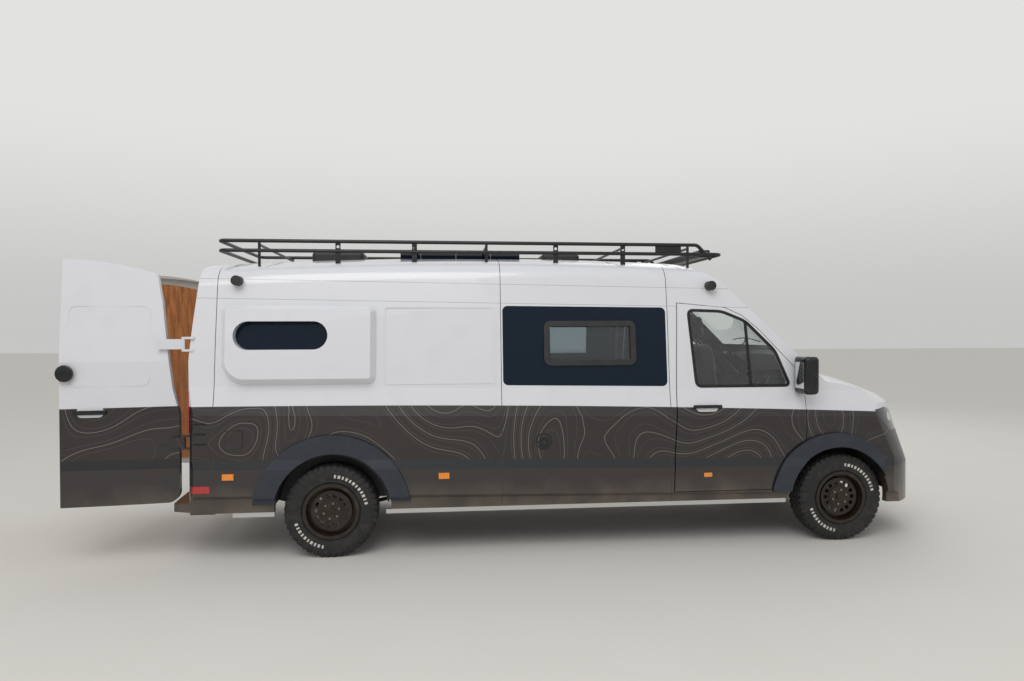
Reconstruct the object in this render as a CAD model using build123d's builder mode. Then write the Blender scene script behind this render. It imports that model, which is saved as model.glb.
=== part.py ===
from build123d import *
import os
from math import cos, hypot, radians, sin, sqrt, tan

os.makedirs("parts", exist_ok=True)

# Camper van, mm. X runs forward, Y to the left, Z up from the ground.
# The origin is on the ground, at the middle of the length with the rear doors open.

# Running gear
front_axle_x = 2800
wheelbase = 4490
rear_axle_x = front_axle_x - wheelbase
track = 1705
tyre_diameter = 775
tyre_width = 245
rim_diameter = 465
hub_z = tyre_diameter / 2

# Body, lengths taken from the nearer axle
front_overhang = 991
rear_overhang = 1136
nose_x = front_axle_x + front_overhang
rear_x = rear_axle_x - rear_overhang
body_half_width = 1018
wall = 60
skirt_z = 400
floor_z = 600
floor_thickness = 40
crown_z = 2585
roof_edge_z = 2475
roof_edge_radius = 200
roof_camber = 40000
roof_peak_x = front_axle_x - 3100
shut_gap = 6

# Side wall: height, inset from the widest line; the heights hold at side_wall_x and fall towards the front
side_wall = [
    (-100, 66), (400, 40), (478, 34), (508, 2), (722, 2), (801, 18), (1168, 0), (1400, 52), (2127, 133), (3100, 208),
]
plain_wall = [(-100, 66), (400, 40), (801, 18), (1168, 0), (1400, 52), (2127, 133), (3100, 208)]
side_wall_x = front_axle_x - 2822
side_fall = 0.016
# Roof cap: height at which the cap meets the wall, inset from the widest line
cap_wall = [(1700, 66), (roof_edge_z, 189)]

# Nose outline seen from above: distance back from the nose, half width
nose_curve = [(0, 0), (201, 700), (341, 900), (570, 1035)]
nose_lean_z = 690
nose_lean = 0.374
brow_lean = 1.40
brow_z = 1235
screen_angle = 42.5
screen_bulge = 110
screen_foot_x = front_axle_x - 204
screen_foot_z = 1658
bonnet_radius = 2200
bonnet_sag = 95
bonnet_axis_x = front_axle_x - 418
bonnet_axis_z = -656

# Rear: crown of the doors, corner radius, lean above a height
rear_crown = 57
rear_corner = 190
side_overlap = 40
far = body_half_width + 200
rear_lean_z = 1650
rear_lean = 0.115
brow_radius = 850
brow_ease = 3

# Edge of the rear doors: height, inset from its lower line
rear_edge = [(0, 0), (1225, 0), (1420, 50), (2127, 133), (3000, 200)]

rear_roof_z = crown_z - (rear_x - roof_peak_x) ** 2 / (2 * roof_camber)

# Glass, doors and windows; outlines are x from the front axle, height
glass_thickness = 8
door_bottom_z = 488
door_side_inset = 131
door_rear_gap = 9
door_outline_points = [
    (-1563, 485), (-1498, 2139), (-1050, 2098), (-900, 2030), (-736, 1894), (-384, 1518),
    (-346, 1400), (-345, 485),
]
door_outline = [(front_axle_x + x, z) for x, z in door_outline_points]
door_window_points = [(-1340, 1400), (-1395, 2072), (-1085, 2062), (-870, 1975), (-606, 1712), (-480, 1400)]
door_window_outline = [(front_axle_x + x, z) for x, z in door_window_points]
side_window_points = [(-3045, 1428), (-3045, 2108), (-1602, 2095), (-1602, 1405)]
side_window_outline = [(front_axle_x + x, z) for x, z in side_window_points]
bunk_box = (rear_axle_x - 772, rear_axle_x - 15, 1742, 1976)
rear_arch = (22, 12, 480)
front_arch = (-40, -2, 465)
rear_trim = (15, 0, 648)
front_trim = (-75, -12, 603)
trim_thickness = 25
trim_low_z = 470
screen_outline = [(-790, 60), (-690, 1150), (690, 1150), (790, 60)]
bonnet_half = 830
bonnet_lip_z = 1085
bonnet_thickness = 40
wing_top_z = 1500
lamp_inner_y = 560
lamp_side_points = [(290, 1178), (420, 1196), (560, 1168), (1100, 1100), (1100, 985), (480, 985), (395, 1060)]
lamp_side = [(front_axle_x + x, z) for x, z in lamp_side_points]
grille_slots = 4
grille_low_z = 800
grille_pitch = 64
grille_slot = 40
grille_half = 430
intake_y = (-300, 0, 300)
intake_half = 135
intake_span = (500, 610)
bumper_top_z = 740
bumper_low_z = 342
bumper_rear_x = 380

mirror_x = front_axle_x - 400
mirror_y = 1100
mirror_z = 1500
mirror_depth = 130
mirror_width = 227
mirror_height = 330
mirror_radius = 38
handle_span = (front_axle_x - 1384, front_axle_x - 1136)
handle_z = 1228
handle_y = 1030
handle_bar = 22
hinge_x = rear_x - 46
hinge_y = 929
hinge_levels = [985, 1790]
pin_r = 8
pin_gap = 0.3
door_split = 6
rear_door_open = 94.5
lining_thickness = 12

# Under the floor and inside
rail_y = 430
rail_low_z = 440
crossmembers = [rear_axle_x - 900, rear_axle_x + 900, rear_axle_x + 1900, rear_axle_x + 2900, front_axle_x + 600]
liner_radius = 470
liner_inner_y = 690
front_liner_inner_y = 480
kingpin_y = 760
knuckle_low_z = 320
knuckle_high_z = 517
subframe_top_z = 400
hub_face_y = track / 2 + tyre_width / 2 - 110
axle_end_y = hub_face_y - 0.3
spring_y = rail_y
dish_depth = 46
disc_r = 169
ring_r = 93
cap_r = 26
window_count = 14
window_r = 125
window_size = 33
window_corner = 7
pod_depth = 85
pod_box = (rear_axle_x - 879, rear_axle_x + 378, 1446, 2106)
pod_root = 40
pod_lean = 6.0
pod_bevel = 28
pod_corner = 90
pod_low_corner = 230
bumper_foot_z = 393
bumper_corner_z = 770
step_x = rear_x - 160
rack_half = 720
rack_low_z = 2585
rack_high_z = 2668
rack_bar_z = 2634
rack_foot_z = 2450
rack_tube_r = 16
rack_post_r = 12
rack_rear_x = front_axle_x - 5444
rack_front_x = front_axle_x - 1248
rack_tip_x = front_axle_x - 1021
rack_drop = 130
rack_bend = 60
rack_posts = [front_axle_x + x for x in (-5112, -3169, -1337)]
rack_plates = [front_axle_x + x for x in (-4453, -3798, -2550, -1939)]
rack_bars = [front_axle_x + x for x in (-5112, -3798, -3169, -1939, -1337)]
rack_plate_x = 44
rack_plate_y = 6
rack_hole_z = 2622
rack_hole_r = 13
name_span = (front_axle_x - 1638, front_axle_x - 1399)
light_x = front_axle_x - 1150
light_z = 2600
light_size = (110, 66)
light_radius = 12
light_half = 640
seat_x = front_axle_x - 950
seat_y = 470
wheel_x = front_axle_x - 560
wheel_z = 1290
dash_half = 850
bed_span = (rear_axle_x - 820, rear_axle_x + 400)
bed_z = 1380

sill_bar_y = 975
sill_spans = [(rear_axle_x + 455, front_axle_x - 525), (rear_axle_x - 790, rear_axle_x - 455)]
marker_points = [(rear_axle_x - 812, 707), (rear_axle_x + 939, 678)]
hatch_box = (front_axle_x - 2690, front_axle_x - 1880, 1593, 1978)
tail_span = (903, 940)
tail_height = (1060, 1400)
reflector_span = (front_axle_x - 5598, front_axle_x - 5446)
reflector_height = (577, 635)
work_lamp_points = [(front_axle_x - 5254, 2314), (front_axle_x - 1188, 2288)]
work_lamp_r = 42
flap_box = (front_axle_x - 5319, front_axle_x - 5190, 930, 1083)
filler_x = front_axle_x - 2702
filler_z = 949
filler_r = 64
roof_vent_spans = [(rear_axle_x - 275, 485), (rear_axle_x + 1895, 370)]
vent_top_z = 2640
solar_span = (rear_axle_x + 560, rear_axle_x + 1640)
solar_top_z = 2608

# Seams between the fixed panels
rear_seam_x = rear_axle_x - 930
mid_seam_x = rear_axle_x + 1430
cab_seam_x = front_axle_x - 1584
roof_seam_z = 2300
cowl_x = front_axle_x - 150
bulkhead_x = front_axle_x - 60


def block(x0, x1, y0, y1, z0, z1):
    with BuildPart() as box:
        with Locations(((x0 + x1) / 2, (y0 + y1) / 2, (z0 + z1) / 2)):
            Box(x1 - x0, y1 - y0, z1 - z0)
    return box.part


def leaf_edge_at(z):
    for (z0, d0), (z1, d1) in zip(rear_edge, rear_edge[1:]):
        if z0 <= z <= z1:
            return body_half_width - door_side_inset - d0 - (d1 - d0) * (z - z0) / (z1 - z0)


def wall_tool(inset):
    start_x = rear_x - 400
    rise = side_fall * (side_wall_x - start_x)
    length = nose_x - start_x + 400
    table = side_wall if inset < wall else plain_wall
    with BuildPart() as tool:
        with BuildSketch(Plane.YZ.offset(start_x)):
            with BuildLine():
                right = Polyline([(body_half_width - d, z + rise) for z, d in table])
                left = Polyline([(d - body_half_width, z + rise) for z, d in table])
                Line(right @ 0, left @ 0)
                Line(right @ 1, left @ 1)
            make_face()
            if inset:
                offset(amount=-inset, kind=Kind.INTERSECTION, mode=Mode.REPLACE)
        extrude(amount=length * hypot(1, side_fall), dir=(1, 0, -side_fall))
    return tool.part


def roof_tool(inset):
    axis_z = crown_z - roof_camber
    start = -5
    tilt = radians(start)
    station = Plane(
        origin=(roof_peak_x, 0, axis_z),
        x_dir=(0, 1, 0),
        z_dir=(cos(tilt), 0, -sin(tilt)),
    )
    cap_low = body_half_width - cap_wall[0][1]
    cap_high = body_half_width - cap_wall[1][1]
    wide = body_half_width + 300
    low_r = -500 - axis_z
    with BuildPart() as tool:
        with BuildSketch(station):
            with BuildLine():
                for side in (1, -1):
                    Polyline(
                        (0, low_r),
                        (side * wide, low_r),
                        (side * wide, cap_wall[0][0] - axis_z),
                        (side * cap_low, cap_wall[0][0] - axis_z),
                        (side * cap_high, roof_edge_z - axis_z),
                    )
                ThreePointArc(
                    (cap_high, roof_edge_z - axis_z),
                    (0, crown_z - axis_z),
                    (-cap_high, roof_edge_z - axis_z),
                )
            face = make_face()
            corners = face.vertices().sort_by(Axis.Y)[-2:]
            fillet(corners, radius=roof_edge_radius)
            if inset:
                offset(amount=-inset, kind=Kind.INTERSECTION, mode=Mode.REPLACE)
        revolve(axis=Axis((roof_peak_x, 0, axis_z), (0, 1, 0)), revolution_arc=12)
    return tool.part


def screen_tool(inset):
    angle = radians(screen_angle)
    plane = Plane(
        origin=(screen_foot_x, 0, screen_foot_z),
        x_dir=(0, 1, 0),
        z_dir=(cos(angle), 0, -sin(angle)),
    )
    half = body_half_width + 200
    sag = screen_bulge * (half / 900) ** 2
    with BuildPart() as tool:
        with BuildSketch(plane):
            with BuildLine():
                ThreePointArc((half, -sag - inset), (0, -inset), (-half, -sag - inset))
                Polyline((half, -sag - inset), (half, -6000), (-half, -6000), (-half, -sag - inset))
            make_face()
        extrude(amount=6000, both=True)
    return tool.part


def bonnet_tool(inset):
    start = -42
    tilt = radians(start)
    axis = Axis((bonnet_axis_x, 0, bonnet_axis_z), (0, 1, 0))
    station = Plane(
        origin=(bonnet_axis_x, 0, bonnet_axis_z),
        x_dir=(0, 1, 0),
        z_dir=(cos(tilt), 0, -sin(tilt)),
    )
    half = body_half_width + 200
    top = bonnet_radius - inset
    sag = bonnet_sag * (half / 970) ** 2
    with BuildPart() as tool:
        with BuildSketch(station):
            with BuildLine():
                ThreePointArc((half, top - sag), (0, top), (-half, top - sag))
                Polyline((half, top - sag), (half, 200), (-half, 200), (-half, top - sag))
            make_face()
        revolve(axis=axis, revolution_arc=110)
    return tool.part


def brow_round_tool(inset):
    # Rounds the step from roof to windscreen: tangent to the roof's arc and to the glass
    slope = radians(screen_angle)
    along_x, along_z = cos(slope), -sin(slope)
    start_x = screen_foot_x - brow_radius * sin(slope)
    start_z = screen_foot_z - brow_radius * cos(slope)
    from_x = start_x - roof_peak_x
    from_z = start_z - (crown_z - roof_camber)
    reach = from_x * along_x + from_z * along_z
    travel = -reach - sqrt(reach**2 - from_x**2 - from_z**2 + (roof_camber - brow_radius) ** 2)
    centre = (start_x + travel * along_x, 0, start_z + travel * along_z)
    half = body_half_width + 200
    sag = screen_bulge * (half / 900) ** 2
    top = brow_radius + brow_ease - inset
    with BuildPart() as tool:
        with BuildSketch(Plane(origin=centre, x_dir=(0, 1, 0), z_dir=(1, 0, 0))):
            with BuildLine():
                ThreePointArc((half, top - sag), (0, top), (-half, top - sag))
                Polyline((half, top - sag), (half, 0), (-half, 0), (-half, top - sag))
            make_face()
        revolve(axis=Axis(centre, (0, 1, 0)), revolution_arc=180)
        add(block(rear_x - 900, centre[0], -half - 20, half + 20, -400, 3200))
        with BuildSketch(Plane(origin=centre, x_dir=(0, 1, 0), z_dir=(along_x, 0, along_z))):
            Rectangle(2 * half + 60, 4000)
        extrude(amount=5000)
    return tool.part


def nose_outline(shift):
    x_tip = nose_x + shift
    tail_x = rear_x - 2500
    (d1, y1), (d2, y2), (d3, y3) = nose_curve[1:]
    with BuildSketch(Plane.XY) as outline:
        with BuildLine():
            ThreePointArc((x_tip - d1, -y1), (x_tip, 0), (x_tip - d1, y1))
            for side in (1, -1):
                ThreePointArc(
                    (x_tip - d1, side * y1),
                    (x_tip - d2, side * y2),
                    (x_tip - d3, side * y3),
                )
                Line((x_tip - d3, side * y3), (tail_x, side * y3))
            Line((tail_x, y3), (tail_x, -y3))
        make_face()
    return outline.sketch


def nose_tool(inset):
    profile = nose_outline(0)
    if inset:
        profile = offset(profile, amount=-inset)
    with BuildPart() as tool:
        rise = 2300 * hypot(1, nose_lean)
        extrude(profile.moved(Location((0, 0, nose_lean_z))), amount=rise, dir=(-nose_lean, 0, 1))
        extrude(profile.moved(Location((0, 0, -300))), amount=nose_lean_z + 300)
    return tool.part


def brow_tool(inset):
    profile = nose_outline(-nose_lean * (brow_z - nose_lean_z))
    if inset:
        profile = offset(profile, amount=-inset)
    with BuildPart() as tool:
        rise = 1700 * hypot(1, brow_lean)
        extrude(profile.moved(Location((0, 0, brow_z))), amount=rise, dir=(-brow_lean, 0, 1))
        add(block(rear_x - 2500, nose_x + 500, -far, far, -300, brow_z))
    return tool.part


def rear_tool(inset):
    front_x = nose_x + 2000
    half = body_half_width + side_overlap
    with BuildSketch(Plane.XY) as outline:
        with BuildLine():
            ThreePointArc((rear_x, -half), (rear_x - rear_crown, 0), (rear_x, half))
            Polyline((rear_x, half), (front_x, half), (front_x, -half), (rear_x, -half))
        face = make_face()
        fillet(face.vertices().sort_by(Axis.X)[:2], radius=rear_corner)
        if inset:
            offset(amount=-inset, mode=Mode.REPLACE)
    profile = outline.sketch
    with BuildPart() as tool:
        extrude(profile.moved(Location((0, 0, rear_lean_z))), amount=1300, dir=(rear_lean, 0, 1))
        extrude(profile.moved(Location((0, 0, -300))), amount=rear_lean_z + 300)
    return tool.part


def body_form(inset):
    with BuildPart() as slope:
        add(screen_tool(inset))
        add(bonnet_tool(inset))
    tools = [roof_tool(inset), rear_tool(inset), nose_tool(inset), brow_tool(inset), slope.part, brow_round_tool(inset)]
    with BuildPart() as form:
        add(wall_tool(inset))
        for tool in tools:
            add(tool, mode=Mode.INTERSECT)
    return form.part



def cut_box(solid, x0, x1, y0, y1, z0, z1):
    with BuildPart() as piece:
        add(solid)
        add(block(x0, x1, y0, y1, z0, z1), mode=Mode.INTERSECT)
    return piece.part


def side_prism(points, side, grow=0.0, corner=0.0):
    with BuildPart() as prism:
        with BuildSketch(Plane.XZ):
            with BuildLine():
                Polyline(points, close=True)
            face = make_face()
            if corner:
                fillet(face.vertices(), radius=corner)
            if grow:
                offset(amount=grow, kind=Kind.INTERSECTION, mode=Mode.REPLACE)
        extrude(amount=-side * (body_half_width + 300))
    return prism.part


def rear_prism(low_z, edge, head, x0, x1, y_min, y_max):
    with BuildPart() as prism:
        with BuildSketch(Plane.YZ.offset(x0)):
            with BuildLine():
                for side in (1, -1):
                    Polyline(
                        (0, low_z),
                        (side * (body_half_width - edge), low_z),
                        *[(side * (body_half_width - edge - d), z) for z, d in rear_edge[1:4]],
                        (side * (body_half_width - edge - cap_wall[1][1] + 10), rear_roof_z - 110 - head),
                    )
                end = body_half_width - edge - cap_wall[1][1] + 10
                ThreePointArc(
                    (end, rear_roof_z - 110 - head),
                    (0, rear_roof_z - head),
                    (-end, rear_roof_z - 110 - head),
                )
            face = make_face()
            fillet(face.vertices().group_by(Axis.Z)[-1], radius=90)
        extrude(amount=x1 - x0)
        add(block(x0 - 10, x1 + 10, y_min, y_max, 0, 3000), mode=Mode.INTERSECT)
    return prism.part


def finish(solid, name):
    solid.label = name
    export_step(solid, f"parts/{name}.step")


def joined(*solids):
    with BuildPart() as group:
        for solid in solids:
            add(solid)
    return group.part


outer = body_form(0)
inner = body_form(wall)
glass_inner = body_form(glass_thickness)
with BuildPart() as shell_form:
    add(outer)
    add(inner, mode=Mode.SUBTRACT)
shell = shell_form.part
with BuildPart() as glass_form:
    add(outer)
    add(glass_inner, mode=Mode.SUBTRACT)
glass_skin = glass_form.part

# Openings, for the right side, mirrored for the left
door_window = {s: side_prism(door_window_outline, s, corner=30) for s in (-1, 1)}
side_window = {s: side_prism(side_window_outline, s, corner=45) for s in (-1, 1)}


def stadium(x0, x1, z0, z1, side, grow=0.0):
    with BuildPart() as prism:
        with BuildSketch(Plane.XZ.offset(0)):
            with Locations(((x0 + x1) / 2, (z0 + z1) / 2)):
                SlotOverall(x1 - x0 + 2 * grow, z1 - z0 + 2 * grow)
        extrude(amount=-side * (body_half_width + 300))
    return prism.part


def rounded(x0, x1, z0, z1, side, radius, grow=0.0):
    with BuildPart() as prism:
        with BuildSketch(Plane.XZ):
            with Locations(((x0 + x1) / 2, (z0 + z1) / 2)):
                RectangleRounded(x1 - x0 + 2 * grow, z1 - z0 + 2 * grow, radius + grow)
        extrude(amount=-side * (body_half_width + 300))
    return prism.part


def wheel_disc(x, z, radius, side, y0=500, y1=1400):
    with BuildPart() as disc:
        with BuildSketch(Plane.XZ.offset(-side * y0)):
            with Locations((x, z)):
                Circle(radius)
        extrude(amount=-side * (y1 - y0))
    return disc.part


def door_prism(side, gap):
    with BuildPart() as prism:
        add(side_prism(door_outline, side, grow=-gap))
        add(
            wheel_disc(front_axle_x + front_trim[0], hub_z + front_trim[1], front_trim[2] + gap, side),
            mode=Mode.SUBTRACT,
        )
    return prism.part


door_opening = {s: door_prism(s, 0) for s in (-1, 1)}
door_leaf_form = {s: door_prism(s, shut_gap) for s in (-1, 1)}
rear_opening = rear_prism(door_bottom_z - shut_gap, door_side_inset - 10, 16, rear_x - 200, rear_x + 160, -far, far)
arches = {
    s: joined(
        wheel_disc(rear_axle_x + rear_arch[0], hub_z + rear_arch[1], rear_arch[2], s),
        wheel_disc(front_axle_x + front_arch[0], hub_z + front_arch[1], front_arch[2], s),
    )
    for s in (-1, 1)
}
bunk_window = {s: stadium(*bunk_box, s) for s in (-1, 1)}

# Rear frame
with BuildPart() as rear_frame:
    add(cut_box(shell, rear_x - 200, rear_seam_x, -far, far, bumper_corner_z, 3000))
    for s in (-1, 1):
        for z in hinge_levels:
            for step in (-1, 1):
                leaf_edge = leaf_edge_at(z)
                y0, y1 = sorted((s * (leaf_edge + 27), s * (hinge_y + 14)))
                ear_z = z + step * 51
                add(block(hinge_x - pin_r, rear_x + 40, y0, y1, ear_z - 9, ear_z + 9))
            with Locations((hinge_x, s * hinge_y, z)):
                Cylinder(pin_r, 120)
    add(inner, mode=Mode.SUBTRACT)
    add(rear_opening, mode=Mode.SUBTRACT)
finish(rear_frame.part, "rear_frame")

# Rear side panels
panels = []
for s in (-1, 1):
    y0, y1 = sorted((s * 500, s * far))
    with BuildPart() as panel:
        add(cut_box(shell, rear_seam_x, mid_seam_x, y0, y1, skirt_z, roof_seam_z))
        add(arches[s], mode=Mode.SUBTRACT)
        add(bunk_window[s], mode=Mode.SUBTRACT)
    panels.append(panel.part)
finish(joined(*panels), "rear_sides")

# Mid side panels, the left one is the sliding door
for s, name in ((-1, "mid_side_right"), (1, "sliding_door")):
    y0, y1 = sorted((s * 500, s * far))
    with BuildPart() as panel:
        add(cut_box(shell, mid_seam_x, cab_seam_x, y0, y1, skirt_z, roof_seam_z))
        add(side_window[s], mode=Mode.SUBTRACT)
    finish(panel.part, name)

# Roof
with BuildPart() as roof:
    add(cut_box(shell, rear_seam_x, cab_seam_x, -far, far, roof_seam_z, 3000))
finish(roof.part, "roof")

# Windscreen opening, seen along the slope of the glass
screen_plane = Plane(
    origin=(screen_foot_x, 0, screen_foot_z),
    x_dir=(0, 1, 0),
    z_dir=(sin(radians(screen_angle)), 0, cos(radians(screen_angle))),
)


def screen_prism(grow):
    with BuildPart() as prism:
        with BuildSketch(screen_plane):
            with BuildLine():
                Polyline(screen_outline, close=True)
            face = make_face()
            fillet(face.vertices(), radius=90)
            if grow:
                offset(amount=grow, mode=Mode.REPLACE)
        extrude(amount=160, both=True)
    return prism.part


screen_opening = screen_prism(0)

# Bonnet cut, seen from above
with BuildPart() as bonnet_cut:
    add(block(cowl_x, nose_x + 50, -bonnet_half, bonnet_half, bonnet_lip_z, 1700))
with BuildPart() as bonnet_clear:
    add(block(cowl_x - shut_gap, nose_x + 60, -bonnet_half - shut_gap, bonnet_half + shut_gap, bonnet_lip_z - shut_gap, 1700))
bonnet_inner = body_form(bonnet_thickness)

# Cab frame
with BuildPart() as cab_frame:
    add(cut_box(shell, cab_seam_x, cowl_x + 90, -far, far, skirt_z, 3000))
    add(block(cowl_x, nose_x, -far, far, 0, wing_top_z), mode=Mode.SUBTRACT)
    add(bonnet_clear.part, mode=Mode.SUBTRACT)
    add(screen_opening, mode=Mode.SUBTRACT)
    for s in (-1, 1):
        add(door_opening[s], mode=Mode.SUBTRACT)
        add(arches[s], mode=Mode.SUBTRACT)
finish(cab_frame.part, "cab_frame")

# Windscreen
with BuildPart() as windscreen:
    add(glass_skin)
    add(screen_opening, mode=Mode.INTERSECT)
finish(windscreen.part, "windscreen")

lamp_form = {}
for s in (-1, 1):
    with BuildPart() as form:
        add(side_prism(lamp_side, s))
        add(block(front_axle_x, nose_x + 200, -lamp_inner_y, lamp_inner_y, 900, 1300), mode=Mode.SUBTRACT)
    lamp_form[s] = form.part

# Wings
wings = []
for s in (-1, 1):
    y0, y1 = sorted((s * 300, s * far))
    with BuildPart() as wing:
        add(cut_box(shell, cowl_x, nose_x, y0, y1, bumper_top_z, wing_top_z))
        add(door_opening[s], mode=Mode.SUBTRACT)
        add(arches[s], mode=Mode.SUBTRACT)
        add(bonnet_clear.part, mode=Mode.SUBTRACT)
        add(block(nose_x - 700, nose_x, -lamp_inner_y, lamp_inner_y, 0, 2000), mode=Mode.SUBTRACT)
        add(lamp_form[s], mode=Mode.SUBTRACT)
    wings.append(wing.part)
finish(joined(*wings), "wings")

# Bonnet
with BuildPart() as bonnet:
    add(outer)
    add(bonnet_inner, mode=Mode.SUBTRACT)
    add(bonnet_cut.part, mode=Mode.INTERSECT)
    for y in (-560, 500):
        lug = joined(cut_box(outer, cowl_x - shut_gap + 0.3, cowl_x + 30, y, y + 60, 1300, 1700))
        with BuildPart() as lug_skin:
            add(lug)
            add(bonnet_inner, mode=Mode.SUBTRACT)
        add(lug_skin.part)
finish(bonnet.part, "bonnet")

# Headlamps
lamps = []
for s in (-1, 1):
    with BuildPart() as lamp:
        add(shell)
        add(lamp_form[s], mode=Mode.INTERSECT)
        add(bonnet_clear.part, mode=Mode.SUBTRACT)
    lamps.append(lamp.part)
finish(joined(*lamps), "headlamps")

# Grille
with BuildPart() as grille:
    add(cut_box(shell, nose_x - 500, nose_x, -lamp_inner_y, lamp_inner_y, bumper_top_z, bonnet_lip_z - shut_gap))
    for i in range(grille_slots):
        z0 = grille_low_z + i * grille_pitch
        add(block(nose_x - 500, nose_x, -grille_half, grille_half, z0, z0 + grille_slot), mode=Mode.SUBTRACT)
finish(grille.part, "grille")

# Front bumper
with BuildPart() as front_bumper:
    add(cut_box(shell, front_axle_x + bumper_rear_x, nose_x + 10, -far, far, bumper_low_z, bumper_top_z))
    for s in (-1, 1):
        add(arches[s], mode=Mode.SUBTRACT)
    for y in intake_y:
        add(block(nose_x - 300, nose_x + 10, y - intake_half, y + intake_half, *intake_span), mode=Mode.SUBTRACT)
finish(front_bumper.part, "front_bumper")


# Front doors, their glass and mirrors
for s, name in ((-1, "right"), (1, "left")):
    y0, y1 = sorted((s * 500, s * far))
    with BuildPart() as door:
        add(cut_box(shell, cab_seam_x, front_axle_x, y0, y1, skirt_z, 2300))
        add(door_leaf_form[s], mode=Mode.INTERSECT)
        add(door_leaf_form[s].moved(Location((door_rear_gap - shut_gap, 0, 0))), mode=Mode.INTERSECT)
        add(door_window[s], mode=Mode.SUBTRACT)
        bar_z = (handle_z - handle_bar / 2, handle_z + handle_bar / 2)
        add(block(*handle_span, *sorted((s * (handle_y - handle_bar), s * handle_y)), *bar_z))
        for x in (handle_span[0], handle_span[1] - handle_bar):
            add(block(x, x + handle_bar, *sorted((s * (handle_y - 60), s * handle_y)), *bar_z))
    finish(door.part, f"door_{name}")
    with BuildPart() as pane:
        add(cut_box(glass_skin, cab_seam_x, front_axle_x, y0, y1, skirt_z, 2300))
        add(door_window[s], mode=Mode.INTERSECT)
    finish(pane.part, f"door_glass_{name}")
    with BuildPart() as mirror:
        with Locations((mirror_x, s * mirror_y, mirror_z)):
            Box(mirror_depth, mirror_width, mirror_height)
        fillet(mirror.edges(), radius=mirror_radius)
        with Locations((mirror_x + 20, s * (mirror_y - mirror_width / 2 + 5), mirror_z - 125)):
            Box(60, 110, 90)
        add(outer, mode=Mode.SUBTRACT)
    finish(mirror.part, f"mirror_{name}")

# Side glass with the opening windows' and bunk windows' panes
panes = []
for s in (-1, 1):
    y0, y1 = sorted((s * 500, s * far))
    with BuildPart() as pane:
        add(cut_box(glass_skin, mid_seam_x, cab_seam_x, y0, y1, skirt_z, 2300))
        add(side_window[s], mode=Mode.INTERSECT)
    panes.append(pane.part)
    with BuildPart() as pane:
        add(cut_box(glass_skin, rear_seam_x, mid_seam_x, y0, y1, skirt_z, 2300))
        add(bunk_window[s], mode=Mode.INTERSECT)
    panes.append(pane.part)
finish(joined(*panes), "side_glass")

# Rear doors, made closed and swung open about their hinges
for s, name in ((-1, "right"), (1, "left")):
    y0, y1 = sorted((s * door_split / 2, s * far))
    leaf_form = rear_prism(door_bottom_z, door_side_inset, 24, rear_x - 200, rear_x + 200, y0, y1)
    with BuildPart() as leaf:
        add(cut_box(outer, rear_x - 200, rear_x + 160, y0, y1, skirt_z, 3000))
        add(inner, mode=Mode.SUBTRACT)
        add(leaf_form, mode=Mode.INTERSECT)
        for z in hinge_levels:
            with Locations((hinge_x, s * hinge_y, z)):
                Cylinder(pin_r + 6, 83)
            leaf_edge = leaf_edge_at(z)
            add(block(hinge_x - 6, hinge_x + 6, *sorted((s * (leaf_edge - 60), s * hinge_y)), z - 41.5, z + 41.5))
            foot = sorted((s * (leaf_edge - 60), s * (leaf_edge - 9)))
            add(block(hinge_x - 6, rear_x + 10, *foot, z - 41.5, z + 41.5))
            with Locations((hinge_x, s * hinge_y, z)):
                Cylinder(pin_r + pin_gap, 90, mode=Mode.SUBTRACT)
    lining_form = rear_prism(
        door_bottom_z + 60, door_side_inset + 70, 110, rear_x - 200, rear_x + 200, *sorted((s * 50, s * far))
    )
    lining_skin = body_form(wall + lining_thickness)
    with BuildPart() as lining:
        add(cut_box(inner, rear_x - 200, rear_x + 200, y0, y1, skirt_z, 3000))
        add(lining_skin, mode=Mode.SUBTRACT)
        add(lining_form, mode=Mode.INTERSECT)
    swing = Axis((hinge_x, s * hinge_y, 0), (0, 0, 1))
    finish(leaf.part.rotate(swing, -s * rear_door_open), f"rear_door_{name}")
    finish(lining.part.rotate(swing, -s * rear_door_open), f"rear_lining_{name}")

# Floor, rails and crossmembers
with BuildPart() as underbody:
    add(cut_box(inner, rear_x + wall, bulkhead_x, -far, far, floor_z - floor_thickness, floor_z))
    for s in (-1, 1):
        add(block(rear_x + 260, nose_x - 320, s * rail_y - 40, s * rail_y + 40, rail_low_z, floor_z - floor_thickness))
    for x in crossmembers:
        add(block(x - 40, x + 40, -rail_y, rail_y, rail_low_z, rail_low_z + 90))
    add(cut_box(inner, bulkhead_x, bulkhead_x + 20, -far, far, floor_z - floor_thickness, 1430))
    for s in (-1, 1):
        add(wheel_disc(rear_axle_x, hub_z, liner_radius + 12, s, liner_inner_y, 1400), mode=Mode.SUBTRACT)
        add(wheel_disc(front_axle_x, hub_z, liner_radius + 12, s, front_liner_inner_y, 1400), mode=Mode.SUBTRACT)
finish(underbody.part, "underbody")

# Wheel-arch liners
liners = []
for s in (-1, 1):
    for x, inner_y in ((rear_axle_x, liner_inner_y), (front_axle_x, front_liner_inner_y)):
        with BuildPart() as liner:
            add(wheel_disc(x, hub_z, liner_radius + 10, s, inner_y + 1, 940))
            add(wheel_disc(x, hub_z, liner_radius, s, inner_y + 11, 960), mode=Mode.SUBTRACT)
            add(block(x - 600, x + 600, -far, far, hub_z + 60, 1500), mode=Mode.INTERSECT)
            add(inner, mode=Mode.INTERSECT)
            if x == front_axle_x:
                add(block(x - 600, x + 600, -inner_y - 12, inner_y + 12, 0, 620), mode=Mode.SUBTRACT)
        liners.append(liner.part)
finish(joined(*liners), "arch_liners")

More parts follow.
